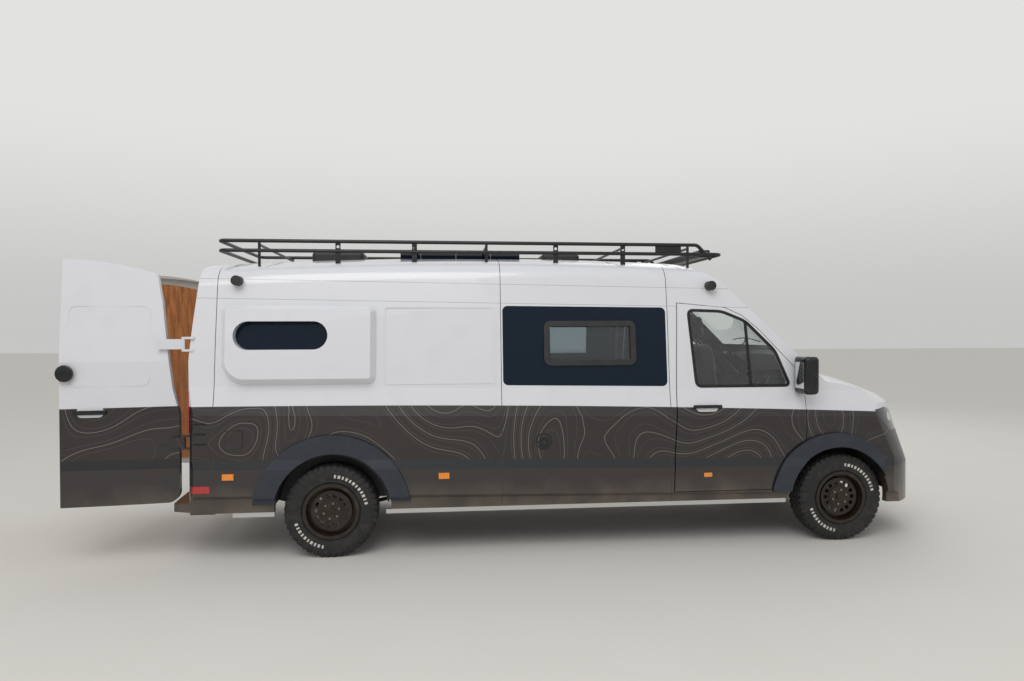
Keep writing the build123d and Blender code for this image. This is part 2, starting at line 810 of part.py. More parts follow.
# Engine, one plain block
with BuildPart() as engine:
    add(block(front_axle_x - 20, front_axle_x + 620, -300, 300, 560, 1150))
    for s in (-1, 1):
        add(block(front_axle_x, front_axle_x + 160, *sorted((s * 240, s * 300)), subframe_top_z, 560))
finish(engine.part, "engine")

# Front subframe with its lower arms
with BuildPart() as subframe:
    add(block(front_axle_x - 220, front_axle_x + 220, -rail_y - 38, rail_y + 38, 330, subframe_top_z))
    for s in (-1, 1):
        for x in (-200, 120):
            post = sorted((s * (rail_y - 38), s * (rail_y + 38)))
            add(block(front_axle_x + x, front_axle_x + x + 80, *post, 330, rail_low_z))
        arm = sorted((s * 400, s * (kingpin_y + 30)))
        add(block(front_axle_x - 60, front_axle_x + 60, *arm, knuckle_low_z - 50, knuckle_low_z - pin_gap))
        arm = sorted((s * (rail_y + 40), s * (kingpin_y + 30)))
        add(block(front_axle_x - 30, front_axle_x + 30, *arm, knuckle_high_z + pin_gap, knuckle_high_z + 24))
finish(subframe.part, "front_subframe")

# Steering knuckles
for s, name in ((-1, "right"), (1, "left")):
    with BuildPart() as knuckle:
        with BuildSketch(Plane.XZ.offset(-s * (kingpin_y - 40))):
            with Locations((front_axle_x, hub_z)):
                Circle(60)
        extrude(amount=-s * (hub_face_y - 0.3 - kingpin_y + 40))
        with BuildSketch(Plane.XY.offset(knuckle_low_z)):
            with Locations((front_axle_x, s * kingpin_y)):
                Circle(30)
        extrude(amount=knuckle_high_z - knuckle_low_z)
    finish(knuckle.part, f"knuckle_{name}")

# Rear axle on leaf springs
with BuildPart() as rear_axle:
    with BuildSketch(Plane.XZ.offset(-axle_end_y)):
        with Locations((rear_axle_x, hub_z)):
            Circle(50)
    extrude(amount=2 * axle_end_y)
    for s in (-1, 1):
        with BuildSketch(Plane.XZ.offset(-s * spring_y - 35)):
            with BuildLine():
                ThreePointArc(
                    (rear_axle_x - 650, rail_low_z),
                    (rear_axle_x, hub_z - 60),
                    (rear_axle_x + 650, rail_low_z),
                )
                ThreePointArc(
                    (rear_axle_x - 650, rail_low_z - 14),
                    (rear_axle_x, hub_z - 84),
                    (rear_axle_x + 650, rail_low_z - 14),
                )
                Line((rear_axle_x - 650, rail_low_z), (rear_axle_x - 650, rail_low_z - 14))
                Line((rear_axle_x + 650, rail_low_z), (rear_axle_x + 650, rail_low_z - 14))
            make_face()
        extrude(amount=70)
        add(block(rear_axle_x - 60, rear_axle_x + 60, s * spring_y - 40, s * spring_y + 40, hub_z - 90, hub_z - 20))
        for x in (-650, 600):
            start = rear_axle_x + x
            add(block(start, start + 50, s * spring_y - 35, s * spring_y + 35, rail_low_z - 20, rail_low_z))
finish(rear_axle.part, "rear_axle")

# Wheels and tyres
half_tyre = tyre_width / 2
tyre_r = tyre_diameter / 2
bead_r = rim_diameter / 2 - 16


def tyre_at(x, side):
    rim_r = rim_diameter / 2
    with BuildPart() as tyre:
        with BuildSketch(Plane.XY):
            with BuildLine():
                Polyline(
                    (half_tyre - 20, bead_r),
                    (half_tyre - 20, rim_r + 6),
                    (half_tyre, rim_r + 6),
                    (half_tyre, tyre_r - 34),
                    (half_tyre - 24, tyre_r),
                    (24 - half_tyre, tyre_r),
                    (-half_tyre, tyre_r - 34),
                    (-half_tyre, rim_r + 6),
                    (20 - half_tyre, rim_r + 6),
                    (20 - half_tyre, bead_r),
                    close=True,
                )
            make_face()
        revolve(axis=Axis.X)
    placed = tyre.part.rotate(Axis.Z, 90)
    return placed.moved(Location((x, side * track / 2, hub_z)))


def wheel_at(x, side):
    rim_r = rim_diameter / 2
    face_x = half_tyre - dish_depth
    with BuildPart() as wheel:
        with BuildSketch(Plane.XY):
            with BuildLine():
                Polyline(
                    (half_tyre - 20, bead_r - 1),
                    (half_tyre - 20, rim_r),
                    (half_tyre - 8, rim_r),
                    (half_tyre - 8, rim_r - 27),
                    (face_x - 56, rim_r - 30),
                    (face_x - 56, disc_r),
                    (face_x, disc_r),
                    (face_x, ring_r),
                    (face_x + 8, ring_r),
                    (face_x + 8, cap_r),
                    (face_x + 22, cap_r),
                    (face_x + 22, 0),
                    (half_tyre - 110, 0),
                    (half_tyre - 110, 88),
                    (face_x - 14, 88),
                    (face_x - 14, disc_r - 14),
                    (face_x - 66, disc_r - 14),
                    (face_x - 66, rim_r - 32),
                    (20 - half_tyre, rim_r - 30),
                    (20 - half_tyre, bead_r - 1),
                    close=True,
                )
            make_face()
        revolve(axis=Axis.X)
        with BuildSketch(Plane.YZ.offset(face_x - 20)):
            with PolarLocations(window_r, window_count):
                RectangleRounded(window_size, window_size, window_corner)
        extrude(amount=30, mode=Mode.SUBTRACT)
    placed = wheel.part.rotate(Axis.Z, 90 if side > 0 else -90)
    return placed.moved(Location((x, side * track / 2, hub_z)))


for x, end in ((front_axle_x, "front"), (rear_axle_x, "rear")):
    for s, name in ((-1, "right"), (1, "left")):
        finish(tyre_at(x, s), f"tyre_{end}_{name}")
        finish(wheel_at(x, s), f"wheel_{end}_{name}")

# Bed pods, bevelled all round
pod_outer = body_form(-pod_depth)
pod_low = body_half_width - 58
pod_tilt = radians(pod_lean)
bevel_slope = tan(radians(pod_bevel))
grown = pod_root * bevel_slope
rise = (pod_box[3] - pod_box[2]) / cos(pod_tilt) + grown
pod_plane = Plane(
    origin=(0, pod_low - pod_root * cos(pod_tilt), pod_box[2] - pod_root * sin(pod_tilt)),
    x_dir=(1, 0, 0),
    z_dir=(0, cos(pod_tilt), sin(pod_tilt)),
)
with BuildPart() as pod:
    with BuildSketch(pod_plane):
        with BuildLine():
            Polyline(
                (pod_box[0] - grown, grown),
                (pod_box[0] - grown, -rise),
                (pod_box[1] + grown, -rise),
                (pod_box[1] + grown, grown),
                close=True,
            )
        face = make_face()
        fillet(face.vertices().sort_by(lambda v: v.X - v.Y)[1:], radius=pod_corner)
        fillet(vertices().sort_by(lambda v: v.X - v.Y)[0], radius=pod_low_corner)
    extrude(amount=pod_depth + 2 * pod_root, taper=pod_bevel)
    add(pod_outer, mode=Mode.INTERSECT)
    add(outer, mode=Mode.SUBTRACT)
    add(bunk_window[1], mode=Mode.SUBTRACT)
finish(joined(pod.part, pod.part.mirror(Plane.XZ)), "bed_pods")

# Rear bumper
with BuildPart() as rear_bumper:
    add(cut_box(shell, rear_x - 200, rear_seam_x, -far, far, bumper_foot_z, bumper_corner_z))
    add(rear_opening, mode=Mode.SUBTRACT)
    with BuildSketch(Plane.XY.offset(bumper_foot_z)):
        with BuildLine():
            Polyline((step_x, -840), (rear_x, -900), (rear_x, 900), (step_x, 840))
            ThreePointArc((step_x, 840), (step_x - 40, 0), (step_x, -840))
        make_face()
    extrude(amount=70)
finish(rear_bumper.part, "rear_bumper")

# Roof rack: a low loop, a high rail turned down at the front, posts, plates and a light bar


def bent_tube(points, bend, radius):
    with BuildPart() as tube:
        with BuildLine() as path:
            FilletPolyline(points, radius=bend)
        with BuildSketch(Plane(origin=path.line @ 0, z_dir=path.line % 0)):
            Circle(radius)
        sweep(path=path.line)
    return tube.part


low_rail = [(rack_tip_x, s * rack_half, rack_low_z) for s in (-1, 1)]
low_rear = [(rack_rear_x, s * rack_half, rack_low_z) for s in (1, -1)]
high_rear = [(rack_rear_x, s * rack_half, rack_high_z) for s in (-1, 1)]
high_front = [(rack_front_x, s * rack_half, rack_high_z) for s in (-1, 1)]
high_end = [(rack_front_x + rack_drop, s * rack_half, rack_high_z - rack_drop) for s in (-1, 1)]
rack_middle = (rack_rear_x + rack_front_x) / 2
with BuildPart() as rack:
    for end_x in (rack_rear_x, rack_tip_x):
        loop = [(rack_middle, -rack_half, rack_low_z), (end_x, -rack_half, rack_low_z)]
        loop += [(end_x, rack_half, rack_low_z), (rack_middle, rack_half, rack_low_z)]
        add(bent_tube(loop, rack_bend, rack_tube_r))
    add(bent_tube([high_end[0], high_front[0], high_rear[0], high_rear[1], high_front[1], high_end[1]], rack_bend, rack_tube_r))
    for s in (-1, 1):
        for x in rack_posts:
            with BuildSketch(Plane.XY.offset(rack_foot_z)):
                with Locations((x, s * rack_half)):
                    Circle(rack_post_r)
            extrude(amount=rack_high_z - rack_foot_z)
        for x in rack_plates:
            with BuildSketch(Plane.XZ.offset(-s * rack_half - rack_plate_y / 2)):
                with Locations((x, (rack_foot_z + rack_high_z) / 2)):
                    Rectangle(rack_plate_x, rack_high_z - rack_foot_z)
                with Locations((x, rack_hole_z)):
                    Circle(rack_hole_r, mode=Mode.SUBTRACT)
            extrude(amount=rack_plate_y)
        with BuildSketch(Plane.XZ.offset(-s * rack_half - rack_plate_y / 2)):
            with Locations(((name_span[0] + name_span[1]) / 2, (rack_low_z + rack_high_z) / 2)):
                Rectangle(name_span[1] - name_span[0], rack_high_z - rack_low_z)
        extrude(amount=rack_plate_y)
    for x in rack_bars:
        with BuildSketch(Plane.XZ.offset(-rack_half)):
            with Locations((x, rack_bar_z)):
                Circle(rack_post_r)
        extrude(amount=2 * rack_half)
    with BuildSketch(Plane.XZ.offset(-light_half)):
        with Locations((light_x, light_z)):
            RectangleRounded(*light_size, light_radius)
    extrude(amount=2 * light_half)
    for s in (-1, 1):
        stay = sorted((s * (light_half - 60), s * (light_half - 52)))
        add(block(light_x, rack_tip_x, *stay, rack_low_z - 12, rack_low_z + 12))
    add(outer, mode=Mode.SUBTRACT)
finish(rack.part, "roof_rack")

# Seats
seats = []
for s in (-1, 1):
    with BuildPart() as seat:
        add(block(seat_x - 200, seat_x + 200, s * seat_y - 200, s * seat_y + 200, floor_z, floor_z + 260))
        add(block(seat_x - 260, seat_x + 260, s * seat_y - 250, s * seat_y + 250, floor_z + 260, floor_z + 420))
        with BuildSketch(Plane.XZ.offset(-s * seat_y - 240)):
            with BuildLine():
                Polyline(
                    (seat_x - 260, floor_z + 400),
                    (seat_x - 120, floor_z + 400),
                    (seat_x - 260, floor_z + 1010),
                    (seat_x - 300, floor_z + 1240),
                    (seat_x - 400, floor_z + 1230),
                    (seat_x - 390, floor_z + 1000),
                    close=True,
                )
            make_face()
        extrude(amount=480)
        add(block(seat_x - 400, seat_x - 305, s * seat_y - 130, s * seat_y + 130, floor_z + 1225, floor_z + 1440))
    seats.append(seat.part)
finish(joined(*seats), "seats")

# Dashboard with the steering wheel
with BuildPart() as dashboard:
    add(cut_box(inner, front_axle_x - 420, bulkhead_x, -dash_half, dash_half, 1050, 1380))
    with BuildSketch(Plane((wheel_x, -seat_y, wheel_z), z_dir=(-1, 0, 0.6))):
        Circle(195)
        Circle(170, mode=Mode.SUBTRACT)
        Rectangle(350, 30)
    extrude(amount=25)
    with BuildSketch(Plane((wheel_x, -seat_y, wheel_z), z_dir=(-1, 0, 0.6))):
        Circle(30)
    extrude(amount=-220)
finish(dashboard.part, "dashboard")

# Bed base, mattress and kitchen unit
bed_half = 880
with BuildPart() as bed_base:
    add(block(*bed_span, -bed_half, bed_half, bed_z - 40, bed_z))
    for x in (bed_span[0] + 100, bed_span[1] - 20):
        for s in (-1, 1):
            add(block(x - 20, x + 20, s * 520 - 20, s * 520 + 20, floor_z, bed_z - 40))
finish(bed_base.part, "bed_base")
finish(block(bed_span[0] + 20, bed_span[1] - 20, -bed_half + 20, bed_half - 20, bed_z, bed_z + 150), "mattress")
finish(cut_box(inner, mid_seam_x + 100, mid_seam_x + 1150, -1000, -440, floor_z, 1350), "kitchen_unit")

# Tail lamps
tails = []
tail_form = body_form(-8)
for s in (-1, 1):
    with BuildPart() as tail:
        add(cut_box(tail_form, rear_x - 60, rear_x + 60, *sorted((s * tail_span[0], s * tail_span[1])), *tail_height))
        add(outer, mode=Mode.SUBTRACT)
    tails.append(tail.part)
    with BuildPart() as reflector:
        add(cut_box(tail_form, *reflector_span, *sorted((s * 700, s * far)), *reflector_height))
        add(outer, mode=Mode.SUBTRACT)
    tails.append(reflector.part)
finish(joined(*tails), "tail_lamps")

# Wheel-arch trims
trim_form = body_form(-trim_thickness)
trims = []
for s in (-1, 1):
    for axle, trim, arch in ((rear_axle_x, rear_trim, rear_arch), (front_axle_x, front_trim, front_arch)):
        y0, y1 = sorted((s * 500, s * far))
        x0, x1 = axle - 700, axle + 700
        if axle == front_axle_x:
            x1 = axle + bumper_rear_x - 0.5
        with BuildPart() as piece:
            add(cut_box(trim_form, x0, x1, y0, y1, trim_low_z, 1100))
            add(outer, mode=Mode.SUBTRACT)
            add(wheel_disc(axle + trim[0], hub_z + trim[1], trim[2], s), mode=Mode.INTERSECT)
            add(wheel_disc(axle + arch[0], hub_z + arch[1], arch[2], s), mode=Mode.SUBTRACT)
        trims.append(piece.part)
finish(joined(*trims), "arch_trims")

# Sill bars below the skirts
bars = []
for s in (-1, 1):
    for x0, x1 in sill_spans:
        bars.append(block(x0, x1, *sorted((s * sill_bar_y, s * (sill_bar_y - 26))), skirt_z - 37, skirt_z))
finish(joined(*bars), "sill_bars")

# Side markers
marker_form = body_form(-14)
markers = []
for s in (-1, 1):
    y0, y1 = sorted((s * 500, s * far))
    for x, z in marker_points:
        with BuildPart() as marker:
            add(cut_box(marker_form, x - 45, x + 45, y0, y1, z - 25, z + 25))
            add(outer, mode=Mode.SUBTRACT)
        markers.append(marker.part)
finish(joined(*markers), "marker_lamps")

# Frames of the opening windows and the bunk windows
frame_form = body_form(-22)
frames = []
for s in (-1, 1):
    y0, y1 = sorted((s * 500, s * far))
    with BuildPart() as frame:
        add(cut_box(frame_form, *hatch_box[:2], y0, y1, *hatch_box[2:]))
        add(outer, mode=Mode.SUBTRACT)
        add(rounded(*hatch_box, s, 60), mode=Mode.INTERSECT)
        add(rounded(*hatch_box, s, 60, grow=-48), mode=Mode.SUBTRACT)
    frames.append(frame.part)
finish(joined(*frames), "window_frames")

# Roof vents and solar panel
vents = []
for x, length in roof_vent_spans:
    with BuildPart() as vent:
        add(block(x, x + length, -200, 200, 2450, vent_top_z))
        fillet(vent.edges().filter_by(Axis.Z), radius=50)
        fillet(vent.edges().group_by(Axis.Z)[-1], radius=35)
        add(outer, mode=Mode.SUBTRACT)
    vents.append(vent.part)
finish(joined(*vents), "roof_vents")
with BuildPart() as solar_panel:
    add(block(*solar_span, -500, 500, 2450, solar_top_z))
    add(outer, mode=Mode.SUBTRACT)
finish(solar_panel.part, "solar_panel")

# Work lamps at the edge of the roof
lamps = []
for s in (-1, 1):
    for x, z in work_lamp_points:
        with BuildPart() as lamp:
            add(wheel_disc(x, z, work_lamp_r, s, body_half_width - 200, body_half_width - 92))
            add(outer, mode=Mode.SUBTRACT)
        lamps.append(lamp.part)
finish(joined(*lamps), "work_lamps")

# Service flap and filler cap, on the right side
skin_form = body_form(-3)
caps = []
for tool in (rounded(*flap_box, -1, 16), wheel_disc(filler_x, filler_z, filler_r, -1)):
    with BuildPart() as cap:
        add(tool)
        add(skin_form, mode=Mode.INTERSECT)
        add(block(rear_x, nose_x, -600, 600, 0, 2000), mode=Mode.SUBTRACT)
        add(outer, mode=Mode.SUBTRACT)
    caps.append(cap.part)
finish(joined(*caps), "service_caps")
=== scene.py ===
import bmesh
import bpy
from math import cos, radians, sin, tau
from mathutils import Matrix, Vector


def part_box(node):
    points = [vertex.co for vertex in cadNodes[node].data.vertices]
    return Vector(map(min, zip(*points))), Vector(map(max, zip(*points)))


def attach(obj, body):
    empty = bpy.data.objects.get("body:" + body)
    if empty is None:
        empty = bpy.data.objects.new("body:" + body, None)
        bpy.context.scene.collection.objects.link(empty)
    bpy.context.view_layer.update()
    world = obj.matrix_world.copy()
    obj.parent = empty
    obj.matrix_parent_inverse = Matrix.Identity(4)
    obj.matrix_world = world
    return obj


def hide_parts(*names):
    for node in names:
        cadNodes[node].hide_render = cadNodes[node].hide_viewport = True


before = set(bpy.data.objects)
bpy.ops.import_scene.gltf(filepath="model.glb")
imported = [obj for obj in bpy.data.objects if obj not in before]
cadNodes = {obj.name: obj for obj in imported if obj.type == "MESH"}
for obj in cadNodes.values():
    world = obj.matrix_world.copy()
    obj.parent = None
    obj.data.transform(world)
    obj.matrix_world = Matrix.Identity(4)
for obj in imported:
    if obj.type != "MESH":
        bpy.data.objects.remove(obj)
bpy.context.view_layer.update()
frontAxleX = 2.8  # lengths are in metres, from the ground under the middle of the van
wheelBase = 4.49
rearAxleX = frontAxleX - wheelBase
hubZ = 0.3875
wheelY = 0.8525
bodyHalf = 1.018
castFrom = 1.6  # rays that look for the skin start this far from the middle
print("frame loaded with", len(cadNodes), "nodes")


# colours and shader nodes

def toLinear(code):
    parts = [int(code[i:i + 2], 16) / 255 for i in (1, 3, 5)]
    linear = [c / 12.92 if c <= 0.04045 else ((c + 0.055) / 1.055) ** 2.4 for c in parts]
    return (*linear, 1.0)


def addNode(tree, kind, inputs=(), output=0, **settings):
    # adds a node, sets it up, links what is a socket and gives back one output; inputs are named or in order
    # a Mix of colours takes its share in socket 0 and its colours in 6 and 7, and gives output 2
    node = tree.nodes.new("ShaderNode" + kind)
    for name, value in settings.items():
        setattr(node, name, value)
    for name, value in inputs.items() if isinstance(inputs, dict) else enumerate(inputs):
        socket = node.inputs[name]
        if isinstance(value, bpy.types.NodeSocket):
            tree.links.new(value, socket)
        else:
            socket.default_value = toLinear(value) if isinstance(value, str) else value
    return node.outputs[output] if node.outputs else None


def newMaterial(name):
    material = bpy.data.materials.new(name)
    material.use_nodes = True
    material.node_tree.nodes.clear()
    tree = material.node_tree
    return material, tree, addNode(tree, "TexCoord", output="Object")


def endMaterial(material, tree, inputs):
    shader = addNode(tree, "BsdfPrincipled", inputs)
    addNode(tree, "OutputMaterial", {"Surface": shader})
    return material


# body: sprayed acrylic paint above, cast vinyl wrap below the belt line

bodyFinish = {
    "paint": "#D9DADF",
    "paintRough": 0.2,
    "wrap": "#1F1817",
    "wrapRough": 0.34,
    "wallFall": 0.016,
    "beltZ": 1.281,
    "beltX": -2.779,
    "beltFall": 0.0034,
    "beltSoft": 0.002,
    # painted sky reflection: the up-facing bevel above the moulding is coloured a navy near-black, darker than
    # the wrap
    "bevel": "#05080F",
    "bevelReflectionTop": 0.801,
    "moulding": "#292423",
    "mouldingTop": 0.722,
    "line": "#7A756F",
    "lineWidth": 0.0042,
    "fineLine": "#4A4642",
    "fineWidth": 0.6,
    "fineRatio": 2.0,
    "linesFrom": 0.80,
    "contourSize": 1.25,
    "contourSteps": 22.0,
    "probe": 0.004,
    "gapX": (-2.62, -0.26, 1.216),
    "gapHalf": 0.0028,
    "gapColour": "#23211F",
    # painted shade: grey lines, darker than the paint, drawn along the two body creases
    "creases": (2.127, 2.292),
    "creaseShadeHalf": 0.0022,
    "creaseShadeColour": "#A9AAAA",
    "inside": "#B5B2AC",
    "cabInside": "#1A1B1D",
    "cabFrom": 1.22,
    "liningHalf": 0.84,
    "liningTop": 2.33,
    "liningFront": 2.66,
    "screenNormal": (0.6756, 0.0, 0.7373),
    "liningUnder": 2.876,
    "dust": "#8A7B68",
    "cloudSize": 0.22,
    "splashTop": 0.75,
    "splashFoot": 0.38,
    "haze": 0.08,
    "dirt": 0.35,
    "peelSize": 0.006,
    "peelDepth": 0.00004,
}


def contourLines(tree, place, steps, width):
    # height lines of a made-up relief, of even width because the slope is measured from side to side
    settings = {"Scale": 1 / bodyFinish["contourSize"], "Detail": 1.3, "Roughness": 0.4, "Distortion": 0.35}
    probe = bodyFinish["probe"]
    heights = []
    for shift in ((0, 0, 0), (probe, 0, 0), (0, 0, probe)):
        moved = addNode(tree, "VectorMath", [place, shift], operation="ADD")
        heights.append(addNode(tree, "TexNoise", {"Vector": moved, **settings}))
    slopes = []
    for height in heights[1:]:
        rise = addNode(tree, "Math", [height, heights[0]], operation="SUBTRACT")
        slopes.append(addNode(tree, "Math", [rise, 2.0], operation="POWER"))
    total = addNode(tree, "Math", [slopes[0], slopes[1]], operation="ADD")
    slope = addNode(tree, "Math", [total], operation="SQRT")
    scaled = addNode(tree, "Math", [heights[0], steps], operation="MULTIPLY")
    part = addNode(tree, "Math", [scaled], operation="FRACT")
    offset = addNode(tree, "Math", [part, 0.5], operation="SUBTRACT")
    away = addNode(tree, "Math", [offset], operation="ABSOLUTE")
    steep = addNode(tree, "Math", [slope, steps / probe], operation="MULTIPLY")
    distance = addNode(tree, "Math", [away, steep], operation="DIVIDE")
    edges = {"Value": distance, "From Min": width * 0.35, "From Max": width * 0.65}
    return addNode(tree, "MapRange", {**edges, "To Min": 1.0, "To Max": 0.0})


def bodyMaterial(name, withWrap=True, withGapsAndCreaseShade=True):
    # clear coat over white paint gives a bright, wet-looking edge; the wrap is flatter, a warm near-black
    f = bodyFinish
    material, tree, place = newMaterial(name)
    x, y, z = addNode(tree, "SeparateXYZ", [place]).node.outputs
    run = addNode(tree, "Math", [x, f["wallFall"]], operation="MULTIPLY")
    height = addNode(tree, "Math", [z, run], operation="ADD")
    cloud = addNode(tree, "TexNoise", {"Vector": place, "Scale": 1 / f["cloudSize"], "Detail": 4.0})
    splash = {"Value": z, "From Min": f["splashTop"], "From Max": f["splashFoot"]}
    nearGround = addNode(tree, "MapRange", splash)
    dirt = addNode(tree, "Math", [cloud, nearGround], operation="MULTIPLY")
    haze = addNode(tree, "MapRange", {"Value": cloud, "From Min": 0.55, "From Max": 0.8, "To Max": f["haze"]})
    dust = f["dust"]
    white = addNode(tree, "Mix", {0: haze, 6: f["paint"], 7: dust}, 2, data_type="RGBA")
    colour = white
    gloss = f["paintRough"]
    if withWrap:
        wrap = f["wrap"]
        shown = addNode(tree, "Math", [height, f["linesFrom"]], operation="GREATER_THAN")
        fineLines = (f["contourSteps"] * f["fineRatio"], f["fineWidth"], f["fineLine"])
        for steps, width, line in (fineLines, (f["contourSteps"], 1.0, f["line"])):
            lines = contourLines(tree, place, steps, f["lineWidth"] * width)
            lines = addNode(tree, "Math", [lines, shown], operation="MULTIPLY")
            wrap = addNode(tree, "Mix", {0: lines, 6: wrap, 7: line}, 2, data_type="RGBA")
        # the belt line, where the wrap ends, falls towards the front in a slight curve
        fromBelt = addNode(tree, "Math", [x, f["beltX"]], operation="SUBTRACT")
        square = addNode(tree, "Math", [fromBelt, 2.0], operation="POWER")
        fall = addNode(tree, "Math", [square, f["beltFall"]], operation="MULTIPLY")
        level = addNode(tree, "Math", [z, fall], operation="ADD")
        soft = f["beltSoft"]
        edges = {"Value": level, "From Min": f["beltZ"] - soft, "From Max": f["beltZ"] + soft}
        above = addNode(tree, "MapRange", edges)
        # below the bevel's top the wrap takes the bevel colour, a painted dark sky reflection on the up-facing
        # bevel; below the moulding's top it takes the moulding's own dark colour
        for top, tone in ((f["bevelReflectionTop"], f["bevel"]), (f["mouldingTop"], f["moulding"])):
            below = addNode(tree, "Math", [height, top], operation="LESS_THAN")
            wrap = addNode(tree, "Mix", {0: below, 6: wrap, 7: tone}, 2, data_type="RGBA")
        colour = addNode(tree, "Mix", {0: above, 6: wrap, 7: white}, 2, data_type="RGBA")
        gloss = addNode(tree, "MapRange", {"Value": above, "To Min": f["wrapRough"], "To Max": gloss})
    dusty = addNode(tree, "MapRange", {"Value": dirt, "From Min": 0.15, "From Max": 0.6, "To Max": f["dirt"]})
    colour = addNode(tree, "Mix", {0: dusty, 6: colour, 7: dust}, 2, data_type="RGBA")
    # grey lines along the body creases are painted shade; the dark lines at the panel gaps are the gaps' own
    # colour
    if withGapsAndCreaseShade:
        lines = [(height, crease, f["creaseShadeHalf"], f["creaseShadeColour"]) for crease in f["creases"]]
        lines += [(x, gap, f["gapHalf"], f["gapColour"]) for gap in f["gapX"]]
        for value, spot, half, tone in lines:
            near = addNode(tree, "Math", [value, spot, half], operation="COMPARE")
            colour = addNode(tree, "Mix", {0: near, 6: colour, 7: tone}, 2, data_type="RGBA")
    # what faces inward is the lining, not the paint
    normal = addNode(tree, "SeparateXYZ", [addNode(tree, "TexCoord", output="Normal")]).node.outputs
    side = addNode(tree, "Math", [y], operation="SIGN")
    facing = addNode(tree, "Math", [side, normal[1]], operation="MULTIPLY")
    inward = addNode(tree, "MapRange", {"Value": facing, "From Min": -0.25, "From Max": -0.35})
    inCab = addNode(tree, "Math", [x, f["cabFrom"]], operation="GREATER_THAN")
    lining = addNode(tree, "Mix", {0: inCab, 6: f["inside"], 7: f["cabInside"]}, 2, data_type="RGBA")
    # the cab's pillars and header are lined too, wherever they face
    across = addNode(tree, "Math", [y], operation="ABSOLUTE")
    under = addNode(tree, "VectorMath", [place, f["screenNormal"]], "Value", operation="DOT_PRODUCT")
    limits = ((across, f["liningHalf"]), (z, f["liningTop"]), (x, f["liningFront"]), (under, f["liningUnder"]))
    for value, limit in limits:
        within = addNode(tree, "Math", [value, limit], operation="LESS_THAN")
        inCab = addNode(tree, "Math", [within, inCab], operation="MULTIPLY")
    inward = addNode(tree, "Math", [inward, inCab], operation="MAXIMUM")
    colour = addNode(tree, "Mix", {0: inward, 6: colour, 7: lining}, 2, data_type="RGBA")
    peel = addNode(tree, "TexNoise", {"Vector": place, "Scale": 1 / f["peelSize"], "Detail": 2.0})
    skin = addNode(tree, "Bump", {"Height": peel, "Strength": 1.0, "Distance": f["peelDepth"]})
    return endMaterial(material, tree, {
        "Base Color": colour, "Roughness": gloss, "IOR": 1.5, "Coat Weight": 0.4, "Coat Roughness": 0.05,
        "Normal": skin,
    })


# other finishes

glassForm = {
    "pane": (0.5245, 0.36, 1.784, 0.15),
    "paneClear": 0.96,
    "paneTint": "#B9C4C9",
    "bandColour": "#0B0B0C",
    "bandFoot": 1.74,
    "bandTop": 2.37,
    "clearFrom": (1.7, 0.73),
    "clearTo": (2.42, 0.64),
}


def tintedGlass(name, colour, clear, withPane=False, withBand=False):
    # float glass, on the sides with a dark film: a hard, still reflection over a deep blue-black
    g = glassForm
    material, tree, place = newMaterial(name)
    seen = clear
    tint = colour
    x, y, z = addNode(tree, "SeparateXYZ", [place]).node.outputs
    if withPane:
        # one pane has hardly any film: middle and half size, along and up
        middleX, halfX, middleZ, halfZ = g["pane"]
        inX = addNode(tree, "Math", [x, middleX, halfX], operation="COMPARE")
        inZ = addNode(tree, "Math", [z, middleZ, halfZ], operation="COMPARE")
        both = addNode(tree, "Math", [inX, inZ], operation="MULTIPLY")
        seen = addNode(tree, "MapRange", {"Value": both, "To Min": clear, "To Max": g["paneClear"]})
        tint = addNode(tree, "Mix", {0: both, 6: tint, 7: g["paneTint"]}, 2, data_type="RGBA")
    if withBand:
        # the black ceramic band baked on round a windscreen leaves a width clear that narrows with height
        (footZ, footHalf), (topZ, topHalf) = g["clearFrom"], g["clearTo"]
        narrowing = {"Value": z, "From Min": footZ, "From Max": topZ, "To Min": footHalf, "To Max": topHalf}
        width = addNode(tree, "MapRange", narrowing)
        across = addNode(tree, "Math", [y], operation="ABSOLUTE")
        beyond = addNode(tree, "Math", [across, width], operation="GREATER_THAN")
        high = addNode(tree, "Math", [z, g["bandTop"]], operation="GREATER_THAN")
        low = addNode(tree, "Math", [z, g["bandFoot"]], operation="LESS_THAN")
        band = addNode(tree, "Math", [high, low], operation="MAXIMUM")
        band = addNode(tree, "Math", [band, beyond], operation="MAXIMUM")
        seen = addNode(tree, "MapRange", {"Value": band, "To Min": clear, "To Max": 0.0})
        tint = addNode(tree, "Mix", {0: band, 6: tint, 7: g["bandColour"]}, 2, data_type="RGBA")
    return endMaterial(material, tree, {
        "Base Color": tint, "Roughness": 0.02, "IOR": 1.46, "Transmission Weight": seen,
        "Specular IOR Level": 0.25,
    })


def usedSurface(tree, place, tones, rough, cloudSize, detail, wornFrom, wornTo, share, grain, depth):
    # what used plastic, metal and rubber have in common: wear in clouds, a fine grain and an uneven gloss
    cloud = addNode(tree, "TexNoise", {"Vector": place, "Scale": 1 / cloudSize, "Detail": detail})
    spread = {"Value": cloud, "From Min": wornFrom, "From Max": wornTo, "To Max": share}
    wear = addNode(tree, "MapRange", spread)
    base = addNode(tree, "Mix", {0: wear, 6: tones[0], 7: tones[1]}, 2, data_type="RGBA")
    fine = addNode(tree, "TexNoise", {"Vector": place, "Scale": 1 / grain, "Detail": 2.0})
    levels = {"Value": cloud, "From Min": 0.3, "From Max": 0.7, "To Min": rough[0], "To Max": rough[1]}
    return {
        "Base Color": base, "Roughness": addNode(tree, "MapRange", levels),
        "Normal": addNode(tree, "Bump", {"Height": fine, "Strength": 1.0, "Distance": depth}),
    }


